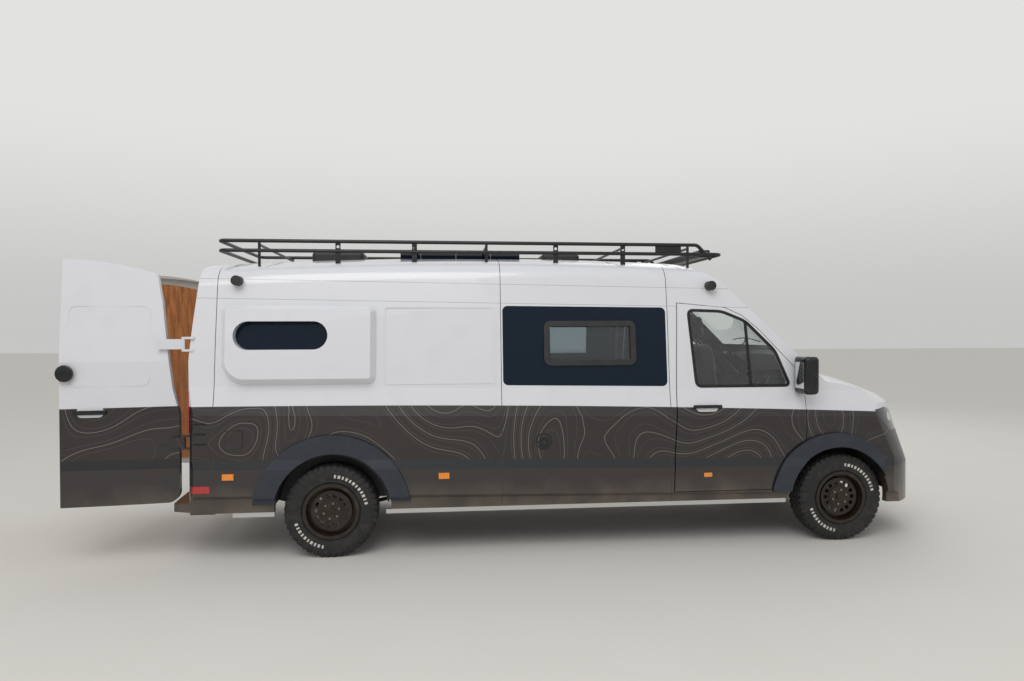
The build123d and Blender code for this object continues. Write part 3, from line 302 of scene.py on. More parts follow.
def mouldedPlastic(name, colour, worn, rough=0.5):
    # injection-moulded ABS: a fine spark-eroded grain breaks up the highlight, paler wear lies in clouds
    material, tree, place = newMaterial(name)
    look = usedSurface(tree, place, (colour, worn), (rough - 0.08, rough + 0.08), cloudSize=0.09, detail=3.0,
                       wornFrom=0.45, wornTo=0.75, share=0.4, grain=0.0035, depth=0.00015)
    return endMaterial(material, tree, {**look, "IOR": 1.5})


def coatedSteel(name, colour, worn, rough=0.38, metallic=0.0):
    # powder-coated or cast metal: a slight orange peel, dust lying in it
    material, tree, place = newMaterial(name)
    look = usedSurface(tree, place, (colour, worn), (rough - 0.07, rough + 0.1), cloudSize=0.06, detail=4.0,
                       wornFrom=0.5, wornTo=0.78, share=0.45, grain=0.004, depth=0.0002)
    return endMaterial(material, tree, {**look, "Metallic": metallic})


def tyreRubber(name, colour, dust, share):
    # carbon-black rubber: nearly black, dusty in patches, no clean highlight
    material, tree, place = newMaterial(name)
    look = usedSurface(tree, place, (colour, dust), (0.62, 0.85), cloudSize=0.05, detail=5.0,
                       wornFrom=0.45, wornTo=0.75, share=share, grain=0.004, depth=0.0003)
    return endMaterial(material, tree, {**look, "IOR": 1.5})


def brushedMetal(name, colour, rough=0.24):
    # drawn stainless steel: fine lines along the length stretch the highlight
    material, tree, place = newMaterial(name)
    stretched = addNode(tree, "Mapping", {"Vector": place, "Scale": (4.0, 500.0, 500.0)})
    lines = addNode(tree, "TexNoise", {"Vector": stretched, "Scale": 1.0, "Detail": 2.0})
    levels = {"Value": lines, "From Min": 0.2, "From Max": 0.8, "To Min": rough, "To Max": rough + 0.16}
    return endMaterial(material, tree, {
        "Base Color": colour, "Metallic": 1.0, "Roughness": addNode(tree, "MapRange", levels),
        "Normal": addNode(tree, "Bump", {"Height": lines, "Strength": 1.0, "Distance": 0.0001}),
    })


def lampPlastic(name, colour, glow=0.0, ribPitch=0.012):
    # clear-coated polycarbonate with a ribbed back: the colour looks deep and shifts in bands
    material, tree, place = newMaterial(name)
    ribs = addNode(tree, "TexWave", {"Vector": place, "Scale": 2 / ribPitch / tau}, "Fac", bands_direction="X")
    dark = tuple(c * 0.55 for c in toLinear(colour)[:3]) + (1.0,)
    base = addNode(tree, "Mix", {0: ribs, 6: dark, 7: colour}, 2, data_type="RGBA")
    return endMaterial(material, tree, {
        "Base Color": base, "Roughness": 0.12, "IOR": 1.58, "Coat Weight": 0.6, "Coat Roughness": 0.04,
        "Emission Color": colour, "Emission Strength": glow,
    })


lampUnits = {
    "centres": ((3.42, 1.075), (3.30, 1.105)),
    "bowl": 0.034,
    "ring": 0.042,
    "housing": "#1D2023",
    "chrome": "#C9CED2",
}


def headlampGlass(name):
    # clear polycarbonate over chromed bowls in a black housing: bright rounds in a dark, glossy field
    material, tree, place = newMaterial(name)
    x, y, z = addNode(tree, "SeparateXYZ", [place]).node.outputs
    flat = addNode(tree, "CombineXYZ", {0: x, 2: z})
    bright = 0.0
    for lampX, lampZ in lampUnits["centres"]:
        away = addNode(tree, "VectorMath", [flat, (lampX, 0, lampZ)], "Value", operation="DISTANCE")
        edges = {"Value": away, "From Min": lampUnits["bowl"], "From Max": lampUnits["ring"]}
        bowl = addNode(tree, "MapRange", {**edges, "To Min": 1.0, "To Max": 0.0})
        bright = addNode(tree, "Math", [bowl, bright], operation="MAXIMUM")
    tones = {0: bright, 6: lampUnits["housing"], 7: lampUnits["chrome"]}
    base = addNode(tree, "Mix", tones, 2, data_type="RGBA")
    metallic = addNode(tree, "MapRange", {"Value": bright, "To Min": 0.25, "To Max": 0.9})
    return endMaterial(material, tree, {
        "Base Color": base, "Metallic": metallic, "Roughness": 0.16, "Coat Weight": 1.0,
        "Coat Roughness": 0.02,
    })


def oiledPlywood(name):
    # rotary-cut birch ply, oiled orange-brown: long wavy grain up the board
    material, tree, place = newMaterial(name)
    stretched = addNode(tree, "Mapping", {"Vector": place, "Scale": (14.0, 14.0, 1.0)})
    figure = addNode(tree, "TexNoise", {"Vector": stretched, "Scale": 2.2, "Detail": 5.0, "Distortion": 0.6})
    fine = addNode(tree, "Mapping", {"Vector": place, "Scale": (260.0, 260.0, 7.0)})
    pores = addNode(tree, "TexNoise", {"Vector": fine, "Scale": 1.0, "Detail": 2.0})
    bands = addNode(tree, "MapRange", {"Value": figure, "From Min": 0.35, "From Max": 0.65})
    base = addNode(tree, "Mix", {0: bands, 6: "#8A4F22", 7: "#B8743A"}, 2, data_type="RGBA")
    share = addNode(tree, "MapRange", {"Value": pores, "From Min": 0.5, "From Max": 0.75, "To Max": 0.5})
    base = addNode(tree, "Mix", {0: share, 6: base, 7: "#5E3315"}, 2, data_type="RGBA")
    levels = {"Value": pores, "From Min": 0.2, "From Max": 0.8, "To Min": 0.38, "To Max": 0.55}
    return endMaterial(material, tree, {
        "Base Color": base, "Roughness": addNode(tree, "MapRange", levels),
        "Normal": addNode(tree, "Bump", {"Height": pores, "Strength": 1.0, "Distance": 0.0004}),
    })


def wovenCloth(name, colour, fleck, thread):
    # flat-woven seat cloth: crossing threads, too fine to show, are drawn twice their size
    material, tree, place = newMaterial(name)
    weave = 1.0
    for direction in ("X", "Z"):
        threads = {"Vector": place, "Scale": 1 / thread / tau, "Distortion": 1.0}
        waves = addNode(tree, "TexWave", threads, "Fac", bands_direction=direction)
        weave = addNode(tree, "Math", [waves, weave], operation="MULTIPLY")
    cloud = addNode(tree, "TexNoise", {"Vector": place, "Scale": 1 / 0.03, "Detail": 2.0})
    mottle = addNode(tree, "Math", [weave, cloud], operation="MULTIPLY")
    share = addNode(tree, "MapRange", {"Value": mottle, "From Max": 0.6})
    base = addNode(tree, "Mix", {0: share, 6: colour, 7: fleck}, 2, data_type="RGBA")
    return endMaterial(material, tree, {
        "Base Color": base, "Roughness": 0.9, "Sheen Weight": 0.3, "Sheen Roughness": 0.5,
        "Normal": addNode(tree, "Bump", {"Height": weave, "Strength": 1.0, "Distance": 0.0006}),
    })


solarCells = {
    "cell": 0.158,
    "seam": 0.004,
    "finger": 0.0395,
    "fingerWidth": 0.0015,
}


def solarGlass(name):
    # toughened glass over blue-black silicon cells 158 mm across, with pale seams and fine silver fingers
    material, tree, place = newMaterial(name)
    x, y, z = addNode(tree, "SeparateXYZ", [place]).node.outputs
    seam = 0.0
    c = solarCells
    lines = ((x, c["cell"], c["seam"]), (y, c["cell"], c["seam"]), (y, c["finger"], c["fingerWidth"]))
    for axis, pitch, width in lines:
        cell = addNode(tree, "Math", [axis, pitch], operation="PINGPONG")
        line = addNode(tree, "Math", [cell, width], operation="LESS_THAN")
        seam = addNode(tree, "Math", [line, seam], operation="MAXIMUM")
    base = addNode(tree, "Mix", {0: seam, 6: "#0E1626", 7: "#6F757C"}, 2, data_type="RGBA")
    return endMaterial(material, tree, {"Base Color": base, "Roughness": 0.08, "IOR": 1.5, "Coat Weight": 0.5})


materials = {
    "body": bodyMaterial("acrylicPaintAndVinylWrap"),
    "doorBody": bodyMaterial("acrylicPaintAndVinylWrapOnDoors", withGapsAndCreaseShade=False),
    "white": bodyMaterial("acrylicPaint", withWrap=False),
    "sideGlass": tintedGlass("filmedSafetyGlass", "#03182B", 0.10, withPane=True),
    "cabGlass": tintedGlass("temperedGlass", "#F6FAF9", 0.99),
    "screenGlass": tintedGlass("laminatedGlass", "#F4FAF7", 0.99, withBand=True),
    "lens": headlampGlass("lampPolycarbonate"),
    "cells": solarGlass("solarGlass"),
    "black": mouldedPlastic("mouldedAbs", "#1C1D1F", "#3A3937"),
    "arch": mouldedPlastic("paintedPolypropylene", "#252B35", "#363A42", 0.34),
    "trim": mouldedPlastic("glossAbs", "#101214", "#26282A", 0.25),
    "grey": mouldedPlastic("mouldedPolypropylene", "#8F9092", "#A5A4A0", 0.5),
    "steel": coatedSteel("castIron", "#232120", "#4A3F35", 0.6, 0.4),
    "bronze": coatedSteel("satinBronzeLacquer", "#2E2720", "#57493B", 0.4, 0.35),
    "rack": coatedSteel("powderCoatedTube", "#131415", "#2B2B2A", 0.34),
    "bar": brushedMetal("brushedStainless", "#CFCFCD"),
    "disc": brushedMetal("groundCastIron", "#8C8984", 0.32),
    "mirror": brushedMetal("silveredGlass", "#D9DEE0", 0.03),
    "rubber": tyreRubber("tyreRubber", "#1B1B1C", "#4B4741", 0.5),
    "seal": tyreRubber("extrudedRubber", "#121213", "#2A2926", 0.3),
    "mark": tyreRubber("whiteSidewallRubber", "#CFCBC2", "#8F887B", 0.4),
    "amber": lampPlastic("amberPolycarbonate", "#F08A12", 0.15),
    "red": lampPlastic("redPolycarbonate", "#B81A1E", 0.05),
    "ply": oiledPlywood("oiledBirchPly"),
    "cloth": wovenCloth("wovenSeatCloth", "#0D0E10", "#1E2023", 0.003),
    "bedding": wovenCloth("wovenCotton", "#B9B2A6", "#D8D2C8", 0.003),
}

# the CAD nodes that take each finish
finishOf = {
    "body": ["rear_frame", "rear_sides", "mid_side_right", "sliding_door", "cab_frame"],
    "doorBody": ["wings", "bonnet", "door_left", "door_right", "rear_door_left", "rear_door_right",
                 "front_bumper", "rear_bumper", "service_caps"],
    "white": ["roof", "bed_pods"],
    "arch": ["arch_trims"],
    "sideGlass": ["side_glass"],
    "cells": ["solar_panel"],
    "cabGlass": ["door_glass_left", "door_glass_right"],
    "screenGlass": ["windscreen"],
    "lens": ["headlamps"],
    "black": ["arch_liners", "dashboard", "grille", "roof_vents", "window_frames", "underbody", "work_lamps"],
    "trim": ["mirror_left", "mirror_right"],
    "steel": ["engine", "front_subframe", "knuckle_left", "knuckle_right", "rear_axle"],
    "bronze": ["wheel_front_left", "wheel_front_right", "wheel_rear_left", "wheel_rear_right"],
    "rack": ["roof_rack"],
    "bar": ["sill_bars"],
    "rubber": ["tyre_front_left", "tyre_front_right", "tyre_rear_left", "tyre_rear_right"],
    "amber": ["marker_lamps"],
    "red": ["tail_lamps"],
    "ply": ["bed_base", "kitchen_unit", "rear_lining_left", "rear_lining_right"],
    "cloth": ["seats"],
    "bedding": ["mattress"],
}
for finish, names in finishOf.items():
    for name in names:
        for place in cadNodes[name].material_slots:
            place.material = materials[finish]
        for polygon in cadNodes[name].data.polygons:
            polygon.material_index = 0
unfinished = [name for name in cadNodes if not any(name in names for names in finishOf.values())]
print("finishes given, left over:", unfinished)


# making pieces

sides = (("right", -1), ("left", 1))


def newObject(name, data):
    made = bpy.data.objects.new(name, data)
    bpy.context.scene.collection.objects.link(made)
    return made


def gridFaces(width, rows, closedWidth=True, closedRows=False):
    # quads between rows of points that have the same width
    faces = []
    for r in range(rows if closedRows else rows - 1):
        s = (r + 1) % rows
        for i in range(width if closedWidth else width - 1):
            j = (i + 1) % width
            faces.append([r * width + i, r * width + j, s * width + j, s * width + i])
    return faces


def takeMesh(shape):
    points = [v.co.copy() for v in shape.verts]
    shape.verts.index_update()
    faces = [[v.index for v in face.verts] for face in shape.faces]
    shape.free()
    return points, faces


def addPiece(name, points, faces, finish, body, bend=35.0):
    mesh = bpy.data.meshes.new(name)
    mesh.from_pydata([tuple(p) for p in points], [], faces)
    mesh.validate()
    mesh.materials.append(materials[finish])
    mesh.shade_smooth()
    mesh.set_sharp_from_angle(angle=radians(bend))
    piece = newObject(name, mesh)
    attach(piece, body)
    return piece


def blocks(name, boxes, finish, body, edge):
    # boxes with rounded edges, joined in one piece; each is x0, x1, y0, y1, z0, z1
    shape = bmesh.new()
    for x0, x1, y0, y1, z0, z1 in boxes:
        spot = Matrix.Translation(((x0 + x1) / 2, (y0 + y1) / 2, (z0 + z1) / 2))
        size = Matrix.Diagonal((abs(x1 - x0), abs(y1 - y0), abs(z1 - z0), 1.0))
        made = bmesh.ops.create_cube(shape, size=1.0, matrix=spot @ size)
        edges = list({e for v in made["verts"] for e in v.link_edges})
        bmesh.ops.bevel(shape, geom=edges, offset=edge, segments=2, affect="EDGES", profile=0.5)
    bmesh.ops.recalc_face_normals(shape, faces=shape.faces)
    return addPiece(name, *takeMesh(shape), finish, body)


def lathed(profile, steps, place, side):
    # points and faces of a profile (distance outward along Y, radius) turned round a Y axis at place
    points = []
    for i in range(steps):
        a = tau * i / steps
        for out, r in profile:
            points.append((place[0] + r * cos(a), place[1] + side * out, place[2] + r * sin(a)))
    faces = gridFaces(len(profile), steps, closedWidth=False, closedRows=True)
    return points, faces if side > 0 else [face[::-1] for face in faces]


def joinForms(forms):
    points, faces = [], []
    for more, loops in forms:
        base = len(points)
        points += more
        faces += [[base + i for i in loop] for loop in loops]
    return points, faces


def roundedOutline(corners, radius, steps=5):
    # a closed outline in x and z with its corners rounded
    outline = []
    count = len(corners)
    for i in range(count):
        here = Vector(corners[i])
        before = Vector(corners[i - 1]) - here
        after = Vector(corners[(i + 1) % count]) - here
        reach = min(radius, before.length / 2, after.length / 2)
        first, last = here + before.normalized() * reach, here + after.normalized() * reach
        for k in range(steps + 1):
            t = k / steps
            outline.append(first * (1 - t) ** 2 + here * 2 * t * (1 - t) + last * t ** 2)
    return outline


def grownOutline(outline, amount):
    grown = []
    count = len(outline)
    for i, here in enumerate(outline):
        way = outline[(i + 1) % count] - outline[i - 1]
        if way.length < 1e-9:
            way = Vector((1, 0))
        outward = Vector((way.y, -way.x)).normalized()
        grown.append(here + outward * amount)
    return grown


wallForm = {
    "middleX": -0.022,
    # height, and how far the wall lies inside its full width there
    "insets": (
        (0.400, 0.040), (0.478, 0.034), (0.508, 0.002), (0.722, 0.002), (0.801, 0.018), (1.168, 0.0),
        (1.400, 0.052), (2.127, 0.133), (3.100, 0.208),
    ),
}


def wallY(x, z):
    # half width of the side wall at a place
    insets = wallForm["insets"]
    level = z + bodyFinish["wallFall"] * (x - wallForm["middleX"])
    for (z0, d0), (z1, d1) in zip(insets, insets[1:]):
        if level <= z1:
            return bodyHalf - d0 - (d1 - d0) * (level - z0) / (z1 - z0)
    return bodyHalf - insets[-1][1]


def skinY(x, z, side, node=None):
    # y of the van's skin at a place: on the named CAD node where its side is hit, else on the side wall
    if node:
        hit, spot, normal, index = cadNodes[node].ray_cast((x, side * castFrom, z), (0, -side, 0))
        if hit:
            return spot.y
    return side * wallY(x, z)


def sealRing(name, outline, inward, outward, side, finish, body, lift=0.002, sink=0.006, node=None):
    # a strip lying over the edge of an opening or a panel in the skin
    rings = []
    for amount, height in ((-inward, -sink), (-inward, lift), (outward, lift), (outward, -sink)):
        ring = grownOutline(outline, amount)
        rings.append([(p.x, skinY(p.x, p.y, side, node) + side * height, p.y) for p in ring])
    points = [p for ring in rings for p in ring]
    return addPiece(name, points, gridFaces(len(outline), 4, closedRows=True), finish, body)


def sidePlate(name, corners, side, finish, body, lift=0.002, radius=0.002, node=None, sink=0.004):
    # a thin plate on the skin, cut to an outline in x and z
    outline = roundedOutline(corners, radius)
    count = len(outline)
    points = []
    for height in (lift, -sink):
        points += [(p.x, skinY(p.x, p.y, side, node) + side * height, p.y) for p in outline]
    faces = [list(range(count)), list(range(2 * count - 1, count - 1, -1))] + gridFaces(count, 2)
    return addPiece(name, points, faces, finish, body)


# tyres and what is bolted to the wheels

tyreForm = {
    # half width and radius, from the bead to the shoulder
    "sidewall": ((0.1000, 0.2200), (0.1022, 0.2400), (0.1110, 0.2450), (0.1160, 0.2500), (0.1150, 0.2580),
                 (0.1190, 0.2720), (0.1219, 0.2900), (0.1222, 0.3150), (0.1200, 0.3350), (0.1175, 0.3500),
                 (0.1135, 0.3640), (0.1040, 0.3790)),
    "treadHalf": 0.0985,
    "treadR": 0.3875,
    "crown": 0.0035,
    "treadCells": 26,
    "pitches": 44,
    "cellsPerPitch": 10,
    "depth": 0.009,
    # middle, half width and swing of each zigzag groove
    "grooves": ((0.0, 0.004, 0.006), (0.036, 0.0045, 0.006), (0.070, 0.0035, 0.004)),
    "innerTo": 0.036,
    "shoulderFrom": 0.070,
    "shoulderGap": 0.3,
    "slotGap": 0.2,
    "slotDepth": 0.8,
    "slotSlant": 6.0,
    "sideLugFrom": 0.345,
    "sideLugSpan": 0.04,
    "sideLugStep": 0.004,
    "markR": (0.284, 0.310),
    "markOut": 0.1231,
    "markThick": 0.003,
    # middle in degrees and number of dashes of each group
    "markGroups": ((48.0, 12), (228.0, 10)),
    "markStep": 6.4,
    "markSpans": (3.6, 2.6, 4.2, 3.0),
}


def treadDrop(turn, across):
    # how far the tread lies below its crown at a turn round the tyre and a place across it
    t = tyreForm
    u = turn * t["pitches"]
    zigzag = abs((u % 1.0) - 0.5) * 4 - 1
    for centre, half, swing in t["grooves"]:
        for sign in (-1, 1):
            if abs(across - sign * (centre + swing * zigzag * sign)) < half:
                return t["depth"]
    band = abs(across)
    if band > t["shoulderFrom"]:
        return t["depth"] if (u + 0.25) % 1.0 < t["shoulderGap"] else 0.0
    slot = (u + (0.5 if band > t["innerTo"] else 0.0) + across * t["slotSlant"]) % 1.0
    return t["depth"] * t["slotDepth"] if slot < t["slotGap"] else 0.0


def tyreMesh():
    t = tyreForm
    columns = t["pitches"] * t["cellsPerPitch"]
    section = [(-w, r, None) for w, r in t["sidewall"]]
    for k in range(t["treadCells"] + 1):
        w = -t["treadHalf"] + 2 * t["treadHalf"] * k / t["treadCells"]
        section.append((w, t["treadR"] - t["crown"] * (w / t["treadHalf"]) ** 2, w))
    section += [(w, r, None) for w, r in reversed(t["sidewall"])]
    points = []
    for i in range(columns):
        turn = i / columns
        a = tau * turn
        lug = treadDrop(turn, t["treadHalf"])
        for w, r, across in section:
            if across is not None:
                r -= treadDrop(turn, across)
            elif r > t["sideLugFrom"]:
                w -= (t["sideLugStep"] if w > 0 else -t["sideLugStep"]) * (lug > 0)
                r -= lug * (r - t["sideLugFrom"]) / t["sideLugSpan"]
            points.append((r * cos(a), w, r * sin(a)))
    faces = gridFaces(len(section), columns, closedWidth=False, closedRows=True)
    return points, [[a, d, c, b] for a, b, c, d in faces]


def markForms():
    # raised dashes on the sidewall, each a bent bar of three spans
    t = tyreForm
    forms = []
    for middle, count in t["markGroups"]:
        for n in range(count):
            centre = middle + (n - (count - 1) / 2) * t["markStep"]
            half = t["markSpans"][n % len(t["markSpans"])] / 2
            points = []
            for out in (t["markOut"], t["markOut"] - t["markThick"]):
                for r in t["markR"]:
                    for k in range(4):
                        a = radians(centre - half + 2 * half * k / 3)
                        points.append((r * cos(a), out, r * sin(a)))
            faces = []
            for k in range(3):
                faces.append([k, k + 1, 5 + k, 4 + k])
                faces.append([k, 8 + k, 9 + k, k + 1])
                faces.append([4 + k, 5 + k, 13 + k, 12 + k])
            faces += [[0, 4, 12, 8], [3, 11, 15, 7]]
            forms.append((points, faces))
    return joinForms(forms)


wheelParts = {
    "boltR": 0.065,
    "bolts": 6,
    "boltTurn": 0.3,
    "boltSink": 0.018,
    "discFace": 0.0765,
    # distance outward and radius of each turned form
    "boltHead": ((0.0385, 0.0), (0.0385, 0.0085), (0.0365, 0.0105), (0.026, 0.0105), (0.026, 0.0)),
    "brake": (
        (0.012, 0.045), (0.012, 0.126), (0.009, 0.128), (-0.009, 0.128), (-0.012, 0.126), (-0.012, 0.045),
    ),
    "brakeHat": ((0.034, 0.03), (0.034, 0.066), (0.030, 0.070), (0.004, 0.070)),
}


def mirrored(points, faces):
    return [(x, -y, z) for x, y, z in points], [face[::-1] for face in faces]


tyrePoints, tyreFaces = tyreMesh()
markPoints, markFaces = markForms()
for end, axleX in (("front", frontAxleX), ("rear", rearAxleX)):
    for sideName, side in sides:
        spinBody = ("front_wheel_" if end == "front" else "back_wheel_") + sideName
        holdBody = "steering_" + sideName if end == "front" else "root"
        place = Vector((axleX, side * wheelY, hubZ))
        forms = []
        for points, faces in ((tyrePoints, tyreFaces), (markPoints, markFaces)):
            if side < 0:
                points, faces = mirrored(points, faces)
            forms.append(([Vector(p) + place for p in points], faces))
        tyre = addPiece(f"treaded_tyre_{end}_{sideName}", *forms[0], "rubber", spinBody)
        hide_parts(f"tyre_{end}_{sideName}")
        addPiece(f"tyre_marks_{end}_{sideName}", *forms[1], "mark", spinBody)
        seat = wheelParts["discFace"] - wheelParts["boltSink"]
        head = [(seat + out, r) for out, r in wheelParts["boltHead"]]
        bolts = []
        for n in range(wheelParts["bolts"]):
            a = tau * n / wheelParts["bolts"] + wheelParts["boltTurn"]
            spot = place + Vector((wheelParts["boltR"] * cos(a), 0, wheelParts["boltR"] * sin(a)))
            bolts.append(lathed(head, 6, spot, side))
        addPiece(f"wheel_bolts_{end}_{sideName}", *joinForms(bolts), "disc", spinBody, 20.0)
        brake = [lathed(wheelParts["brake"], 64, place, side), lathed(wheelParts["brakeHat"], 48, place, side)]
        addPiece(f"brake_disc_{end}_{sideName}", *joinForms(brake), "disc", holdBody)
print("tyres, marks, bolts and brakes made")


# windows of the cab doors: a rubber seal and the dark divider bar, placed from the front axle

windowTrim = {
    "door": (
        (-1.340, 1.400), (-1.395, 2.072), (-1.085, 2.062), (-0.870, 1.975), (-0.606, 1.712), (-0.480, 1.400),
    ),
    "doorRadius": 0.05,
    "sealInward": 0.012,
    "sealOutward": 0.014,
    "dividerTop": (-0.872, 1.972),
    "dividerFoot": (-0.842, 1.402),
    "dividerHalf": 0.013,
}
for sideName, side in sides:
    t = windowTrim
    body = "front_door_" + sideName
    outline = roundedOutline([(frontAxleX + x, z) for x, z in t["door"]], t["doorRadius"])
    sealRing(f"door_window_seal_{sideName}", outline, t["sealInward"], t["sealOutward"], side, "seal", body)
    (topX, topZ), (footX, footZ) = t["dividerTop"], t["dividerFoot"]
    half = t["dividerHalf"]
    bar = [(topX - half, topZ), (topX + half, topZ), (footX + half, footZ), (footX - half, footZ)]
    sidePlate(f"window_divider_{sideName}", [(frontAxleX + x, z) for x, z in bar], side, "seal", body)
print("window seals made")


# small parts of the outside; places are along the van and up, in metres

def boxCorners(x0, x1, z0, z1):
    return [(x0, z0), (x1, z0), (x1, z1), (x0, z1)]


# plates on the skin: sides, span along and up, finish, door, CAD node they lie on, lift and corner radius
skinPlates = {
    "handle_cup": ("both", (1.442, 1.64, 1.183, 1.274), "white", "front_door", None, 0.002, 0.04),
    "door_marker": ("both", (1.508, 1.58, 0.614, 0.65), "amber", "front_door", "door", 0.006, 0.008),
    "rear_door_fold": ("both", (-3.78, -3.02, 0.9585, 0.9635), "seal", "back_door", "rear_door", 0.0015, 0.001),
    "rear_handle_cup": ("right", (-3.668, -3.472, 1.205, 1.292), "white", "back_door", "rear_door", 0.002, 0.04),
    "rear_handle": ("right", (-3.69, -3.45, 1.228, 1.262), "trim", "back_door", "rear_door", 0.022, 0.014),
    "rear_plate_blank": ("left", (-3.65, -3.13, 1.01, 1.121), "white", "back_door", "rear_door", 0.004, 0.008),
}
for name, (where, span, finish, door, node, lift, radius) in skinPlates.items():
    for sideName, side in sides:
        if where in ("both", sideName):
            label = f"{name}_{sideName}" if where == "both" else name
            under = f"{node}_{sideName}" if node else None
            sidePlate(label, boxCorners(*span), side, finish, f"{door}_{sideName}", lift, radius, under)

outsideParts = {
    "handleBar": (1.412, 1.668, 1.0115, 1.0335, 1.214, 1.242),
    "cornerSlots": (1.140, 1.057, 0.974),
    "cornerSlotSpan": (-2.775, -2.672),
    "cornerSlotHigh": 0.017,
    "panel": (-1.245, -0.315, 1.450, 2.095),
    "panelRadius": 0.03,
    "rearPanel": (-3.740, -3.140, 1.459, 2.105),
    "rearPanelRadius": 0.06,
    "beadHalf": 0.006,
    "beadLift": 0.004,
    "flap": (-2.519, -2.390, 0.930, 1.083),
    "flapRadius": 0.02,
    "cap": (0.098, 0.949, 0.064),
    "capSteps": 48,
    # distance outward and radius of the turned forms
    "capDial": (
        (-0.004, 0.0), (0.004, 0.012), (0.007, 0.026), (0.004, 0.045), (0.002, 0.054), (-0.004, 0.056),
    ),
    "rearLamp": (-3.741, 1.562),
    "lampSteps": 40,
    "lampBody": (
        (-0.01, 0.0), (0.0, 0.03), (0.012, 0.060), (0.030, 0.068), (0.044, 0.066), (0.048, 0.058),
        (0.046, 0.0),
    ),
    "mirrorGlass": (1.025, 1.175, 1.385, 1.615),
    "mirrorDepth": (-0.001, 0.006),
}
parts = outsideParts
for sideName, side in sides:
    x0, x1, y0, y1, z0, z1 = parts["handleBar"]
    handle = (x0, x1, side * y0, side * y1, z0, z1)
    blocks(f"handle_cover_{sideName}", [handle], "trim", "front_door_" + sideName, edge=0.006)
    x0, x1 = parts["cornerSlotSpan"]
    half = parts["cornerSlotHigh"] / 2
    for n, z in enumerate(parts["cornerSlots"]):
        slot = boxCorners(x0, x1, z - half, z + half)
        sidePlate(f"corner_slot_{n}_{sideName}", slot, side, "seal", "root", 0.0015, 0.006, "rear_frame")
    half, lift = parts["beadHalf"], parts["beadLift"]
    panel = roundedOutline(boxCorners(*parts["panel"]), parts["panelRadius"])
    sealRing(f"panel_bead_{sideName}", panel, half, half, side, "white", "root", lift)
    panel = roundedOutline(boxCorners(*parts["rearPanel"]), parts["rearPanelRadius"])
    sealRing(f"rear_door_bead_{sideName}", panel, half, half, side, "white", "back_door_" + sideName, lift,
             node="rear_door_" + sideName)
    low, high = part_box("mirror_" + sideName)
    back, front = parts["mirrorDepth"]
    y0, y1, z0, z1 = parts["mirrorGlass"]
    glass = (low[0] + back, low[0] + front, side * y0, side * y1, z0, z1)
    blocks(f"mirror_glass_{sideName}", [glass], "mirror", "front_door_" + sideName, edge=0.002)
lampX, lampZ = parts["rearLamp"]
lampY = skinY(lampX, lampZ, -1, "rear_door_right")
lamp = lathed(parts["lampBody"], parts["lampSteps"], (lampX, lampY, lampZ), -1)
addPiece("rear_round_lamp", *lamp, "trim", "back_door_right")
flap = roundedOutline(boxCorners(*parts["flap"]), parts["flapRadius"])
sealRing("filler_flap_gap", flap, 0.001, 0.003, -1, "seal", "root", lift=0.0012)
capX, capZ, capR = parts["cap"]
circle = []
for i in range(parts["capSteps"]):
    a = tau * i / parts["capSteps"]
    circle.append(Vector((capX + capR * cos(a), capZ + capR * sin(a))))
sealRing("water_cap_rim", circle, 0.004, 0.006, -1, "trim", "root", lift=0.006)
capDial = lathed(parts["capDial"], parts["capSteps"], (capX, -wallY(capX, capZ), capZ), -1)
addPiece("water_cap_dial", *capDial, "trim", "root")
print("outside parts made")


# wipers parked on the windscreen, and the kitchen's worktop and doors

def tubeAlong(name, path, radius, finish, body, steps=10):
    # a round bar through points, with closed ends
    points = []
    for i, spot in enumerate(path):
        spot = Vector(spot)
        way = (Vector(path[min(i + 1, len(path) - 1)]) - Vector(path[max(i - 1, 0)])).normalized()
        across = way.orthogonal().normalized() if i == 0 else (across - way * across.dot(way)).normalized()
        up = way.cross(across)
        for k in range(steps):
            a = tau * k / steps
            points.append(spot + across * radius * cos(a) + up * radius * sin(a))
    ends = [list(range(steps))[::-1], list(range((len(path) - 1) * steps, len(path) * steps))]
    return addPiece(name, points, gridFaces(steps, len(path)) + ends, finish, body)


wiperForm = {
    "footX": 2.596,
    "footZ": 1.658,
    "slope": 42.5,
    "lift": 0.022,
    # foot and tip of each arm, across the screen and up it
    "arms": (("right", -0.02, 0.05, -0.36, 0.22), ("left", 0.58, 0.05, 0.24, 0.22)),
    "elbow": 0.06,
    "armLifts": (0.6, 1.5, 1.7, 1.2),
    "armRadius": 0.007,
    "bladeHalf": 0.26,
    "bladeBow": 0.03,
    "bladePlaces": (-1, -0.6, -0.2, 0.2, 0.6, 1),
    "bladeLift": 0.75,
    "bladeRadius": 0.006,
    "castFrom": 0.25,
}


def onScreen(across, up, lift):
    # a place as far above the windscreen, or what lies round it, as lift says
    slope = radians(wiperForm["slope"])
    outward = Vector((sin(slope), 0, cos(slope)))
    place = Vector((wiperForm["footX"] - up * cos(slope), across, wiperForm["footZ"] + up * sin(slope)))
    for name in ("windscreen", "cab_frame", "bonnet"):
        hit, spot, normal, index = cadNodes[name].ray_cast(place + outward * wiperForm["castFrom"], -outward)
        if hit:
            return spot + outward * lift
    return place + outward * lift


